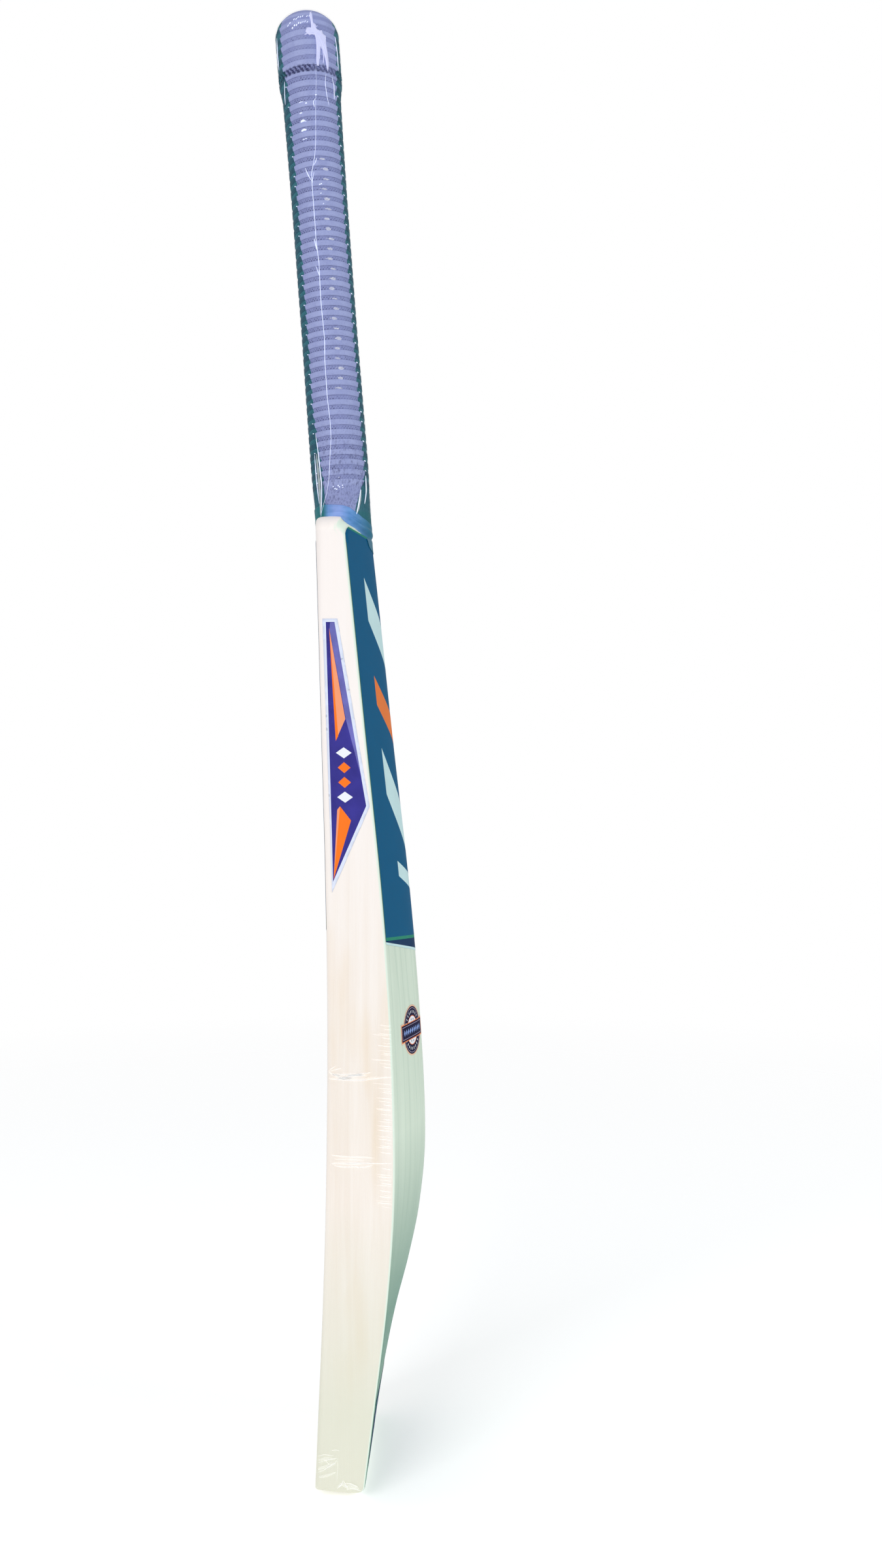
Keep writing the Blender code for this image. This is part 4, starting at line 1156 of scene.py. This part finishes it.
    # Painted reflections: pale soft patches where the film reflects the light, down the ribs and at the foot.
    painted_film_reflections = [(((12.2, 17), (11.2, 11), (10.0, 6), (8.8, 2.6)), 1.6),
             (((15.5, 26), (15.1, 16), (13.8, 8.8)), 1.2),
             (((-12.2, 40), (-11.9, 24), (-12.0, 12), (-12.6, 4)), 2.0)]
    for k in range(9, 33):
        h = (RIBS_FOOT + RIB_PITCH * (k + 0.62)) / MM
        u = 5.4 + 0.9 * math.sin(k * 1.9)
        for m in range(3):
            along = u - 2.4 + 1.7 * m + 0.4 * math.sin(5 * m + k)
            if math.sin(7.3 * m + 2.9 * k) > 0.2:
                painted_film_reflections.append((((along - 0.5, h - 0.3), (along + 0.6, h + 0.4)),
                              0.5 + 0.2 * math.sin(3 * m + k)))
        painted_film_reflections.append((((u - 1.7, h + 0.1), (u, h), (u + 1.3, h - 0.3)), 1.5 + 0.4 * math.sin(k * 4.1)))
    strands("handle_film_painted_reflections", [(p, w, 0.2) for p, w in painted_film_reflections], on_handle,
            clear_film("film_painted_reflection", 0.2, white, 0.1))


# ---------------------------------------------------------------- the room


FLOOR_REACH = 3.0


def area_light(name, place, target, size, power, colour=(1, 1, 1)):
    light = bpy.data.lights.new(name, "AREA")
    light.shape, light.size, light.energy, light.color = "SQUARE", size, power, colour
    made = bpy.data.objects.new(name, light)
    made.location = place
    made.rotation_euler = (Vector(target) - Vector(place)).to_track_quat("-Z", "Y").to_euler()
    bpy.context.scene.collection.objects.link(made)


def make_room():
    """A white studio with a pale floor that fades into it, two soft lights, and the camera."""
    scene = bpy.context.scene
    world = bpy.data.worlds.new("studio")
    world.use_nodes = True
    nodes, links = world.node_tree.nodes, world.node_tree.links
    nodes["Background"].inputs["Color"].default_value = (0.96, 0.98, 1.0, 1)
    nodes["Background"].inputs["Strength"].default_value = 0.55
    seen = nodes.new("ShaderNodeBackground")
    seen.inputs["Color"].default_value = (1, 1, 1, 1)
    either = nodes.new("ShaderNodeMixShader")
    links.new(nodes.new("ShaderNodeLightPath").outputs["Is Camera Ray"], either.inputs[0])
    links.new(nodes["Background"].outputs[0], either.inputs[1])
    links.new(seen.outputs[0], either.inputs[2])
    links.new(either.outputs[0], nodes["World Output"].inputs[0])
    scene.world = world
    scene.view_settings.view_transform = "Standard"
    pale = Paint("floor", (0.93, 0.93, 0.93, 1), Roughness=0.9, Specular_IOR_Level=0.0,
                 Emission_Strength=0.33)
    pale.shader.inputs["Emission Color"].default_value = (1, 1, 1, 1)
    here = pale.node("TexCoord").outputs["Object"]
    reach = pale.node("VectorMath", {0: here}, operation="LENGTH").outputs["Value"]
    pale.link(pale.ramp(reach, 0.3, 1.5, 1.0, 0.0), "Alpha")
    corners = [(x * FLOOR_REACH, y * FLOOR_REACH, -0.6 * MM) for x, y in ((-1, -1), (1, -1), (1, 1), (-1, 1))]
    floor = new_piece("floor", corners, [(0, 1, 2, 3)], [pale.material])
    area_light("key", (1.7, -0.9, 1.4), (0, 0, 0.45), 1.2, 19)
    area_light("back_fill", (0.9, 1.8, 1.1), (0, 0, 0.4), 1.2, 12, (0.92, 1.0, 0.98))
    camera = bpy.data.cameras.new("camera")
    camera.lens, camera.sensor_width = 29.69, 36
    made = bpy.data.objects.new("camera", camera)
    made.location = (0.780, 0.0568, 0.404)
    made.rotation_euler = (math.radians(90), 0, math.radians(90))
    scene.collection.objects.link(made)
    scene.camera = made


def trim_to_shoulders(node, ink):
    """A cane or spring with its end carved to the same line as the blade's shoulders."""
    mesh = node.data.copy()
    for v in mesh.vertices:
        z = min(v.co.z, BLADE_LENGTH)
        if CARVED_FROM < v.co.z < BLADE_LENGTH + 0.1 * MM:
            face = face_y(v.co.x, z) + carved(v.co.x, z)[0] + 0.1 * MM
            v.co.y = min(max(v.co.y, face), back_shape(v.co.x, z) - 0.1 * MM)
    mesh.materials.clear()
    mesh.materials.append(ink)
    made = bpy.data.objects.new(f"{node.name}_carved", mesh)
    bpy.context.scene.collection.objects.link(made)
    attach(made, "root")
    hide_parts(node.name)


def dress_handle(cane, rubber, twine):
    """The canes and rubber springs, trimmed to the shoulders, and the twine as it was built."""
    for name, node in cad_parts.items():
        if name.startswith(("cane", "rubber")):
            trim_to_shoulders(node, cane if name.startswith("cane") else rubber)
    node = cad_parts["twine_binding"]
    node.data.materials.clear()
    node.data.materials.append(twine)


def main():
    inks = {}
    for key, colour in INK_COLOURS.items():
        name = key if key.startswith("seal") else "label_" + key
        inks[key] = printed(name, srgb(*colour), 0.3 if key in ("indigo", "painted_violet_reflection") else 0.05)
    dress_handle(cane_wood(), plain("spring_rubber", (0.05, 0.05, 0.05, 1), 0.3, 400, Roughness=0.8),
                 twine_cord())
    make_blade(willow())
    make_back_label(inks)
    make_face_label(inks)
    make_edge_labels(inks)
    make_toe_label(inks)
    make_seal(inks)
    make_grip(grip_rubber())
    make_hem(hem_rubber())
    white = (1.0, 1.0, 1.0, 1)
    make_blade_film(clear_film("blade_film", 0.02, srgb(100, 130, 160), 0.12))
    # The creases and gathers are whitish film with a painted glint glow.
    make_blade_creases(clear_film("film_crease", 0.26, white, 0.1, 0.14),
                       clear_film("film_gather", 0.10, white, 0.0, 0.2))
    make_handle_film(clear_film("handle_film", 0.06, srgb(110, 120, 170), 0.3))
    # The seam, tuck and glints are whitish film with a painted glint glow.
    make_handle_creases(clear_film("film_seam", 0.95, srgb(226, 232, 252), 0.3, 0.2),
                        clear_film("film_tuck", 0.8, srgb(206, 208, 238), 0.3, 0.1), white)
    make_room()


main()
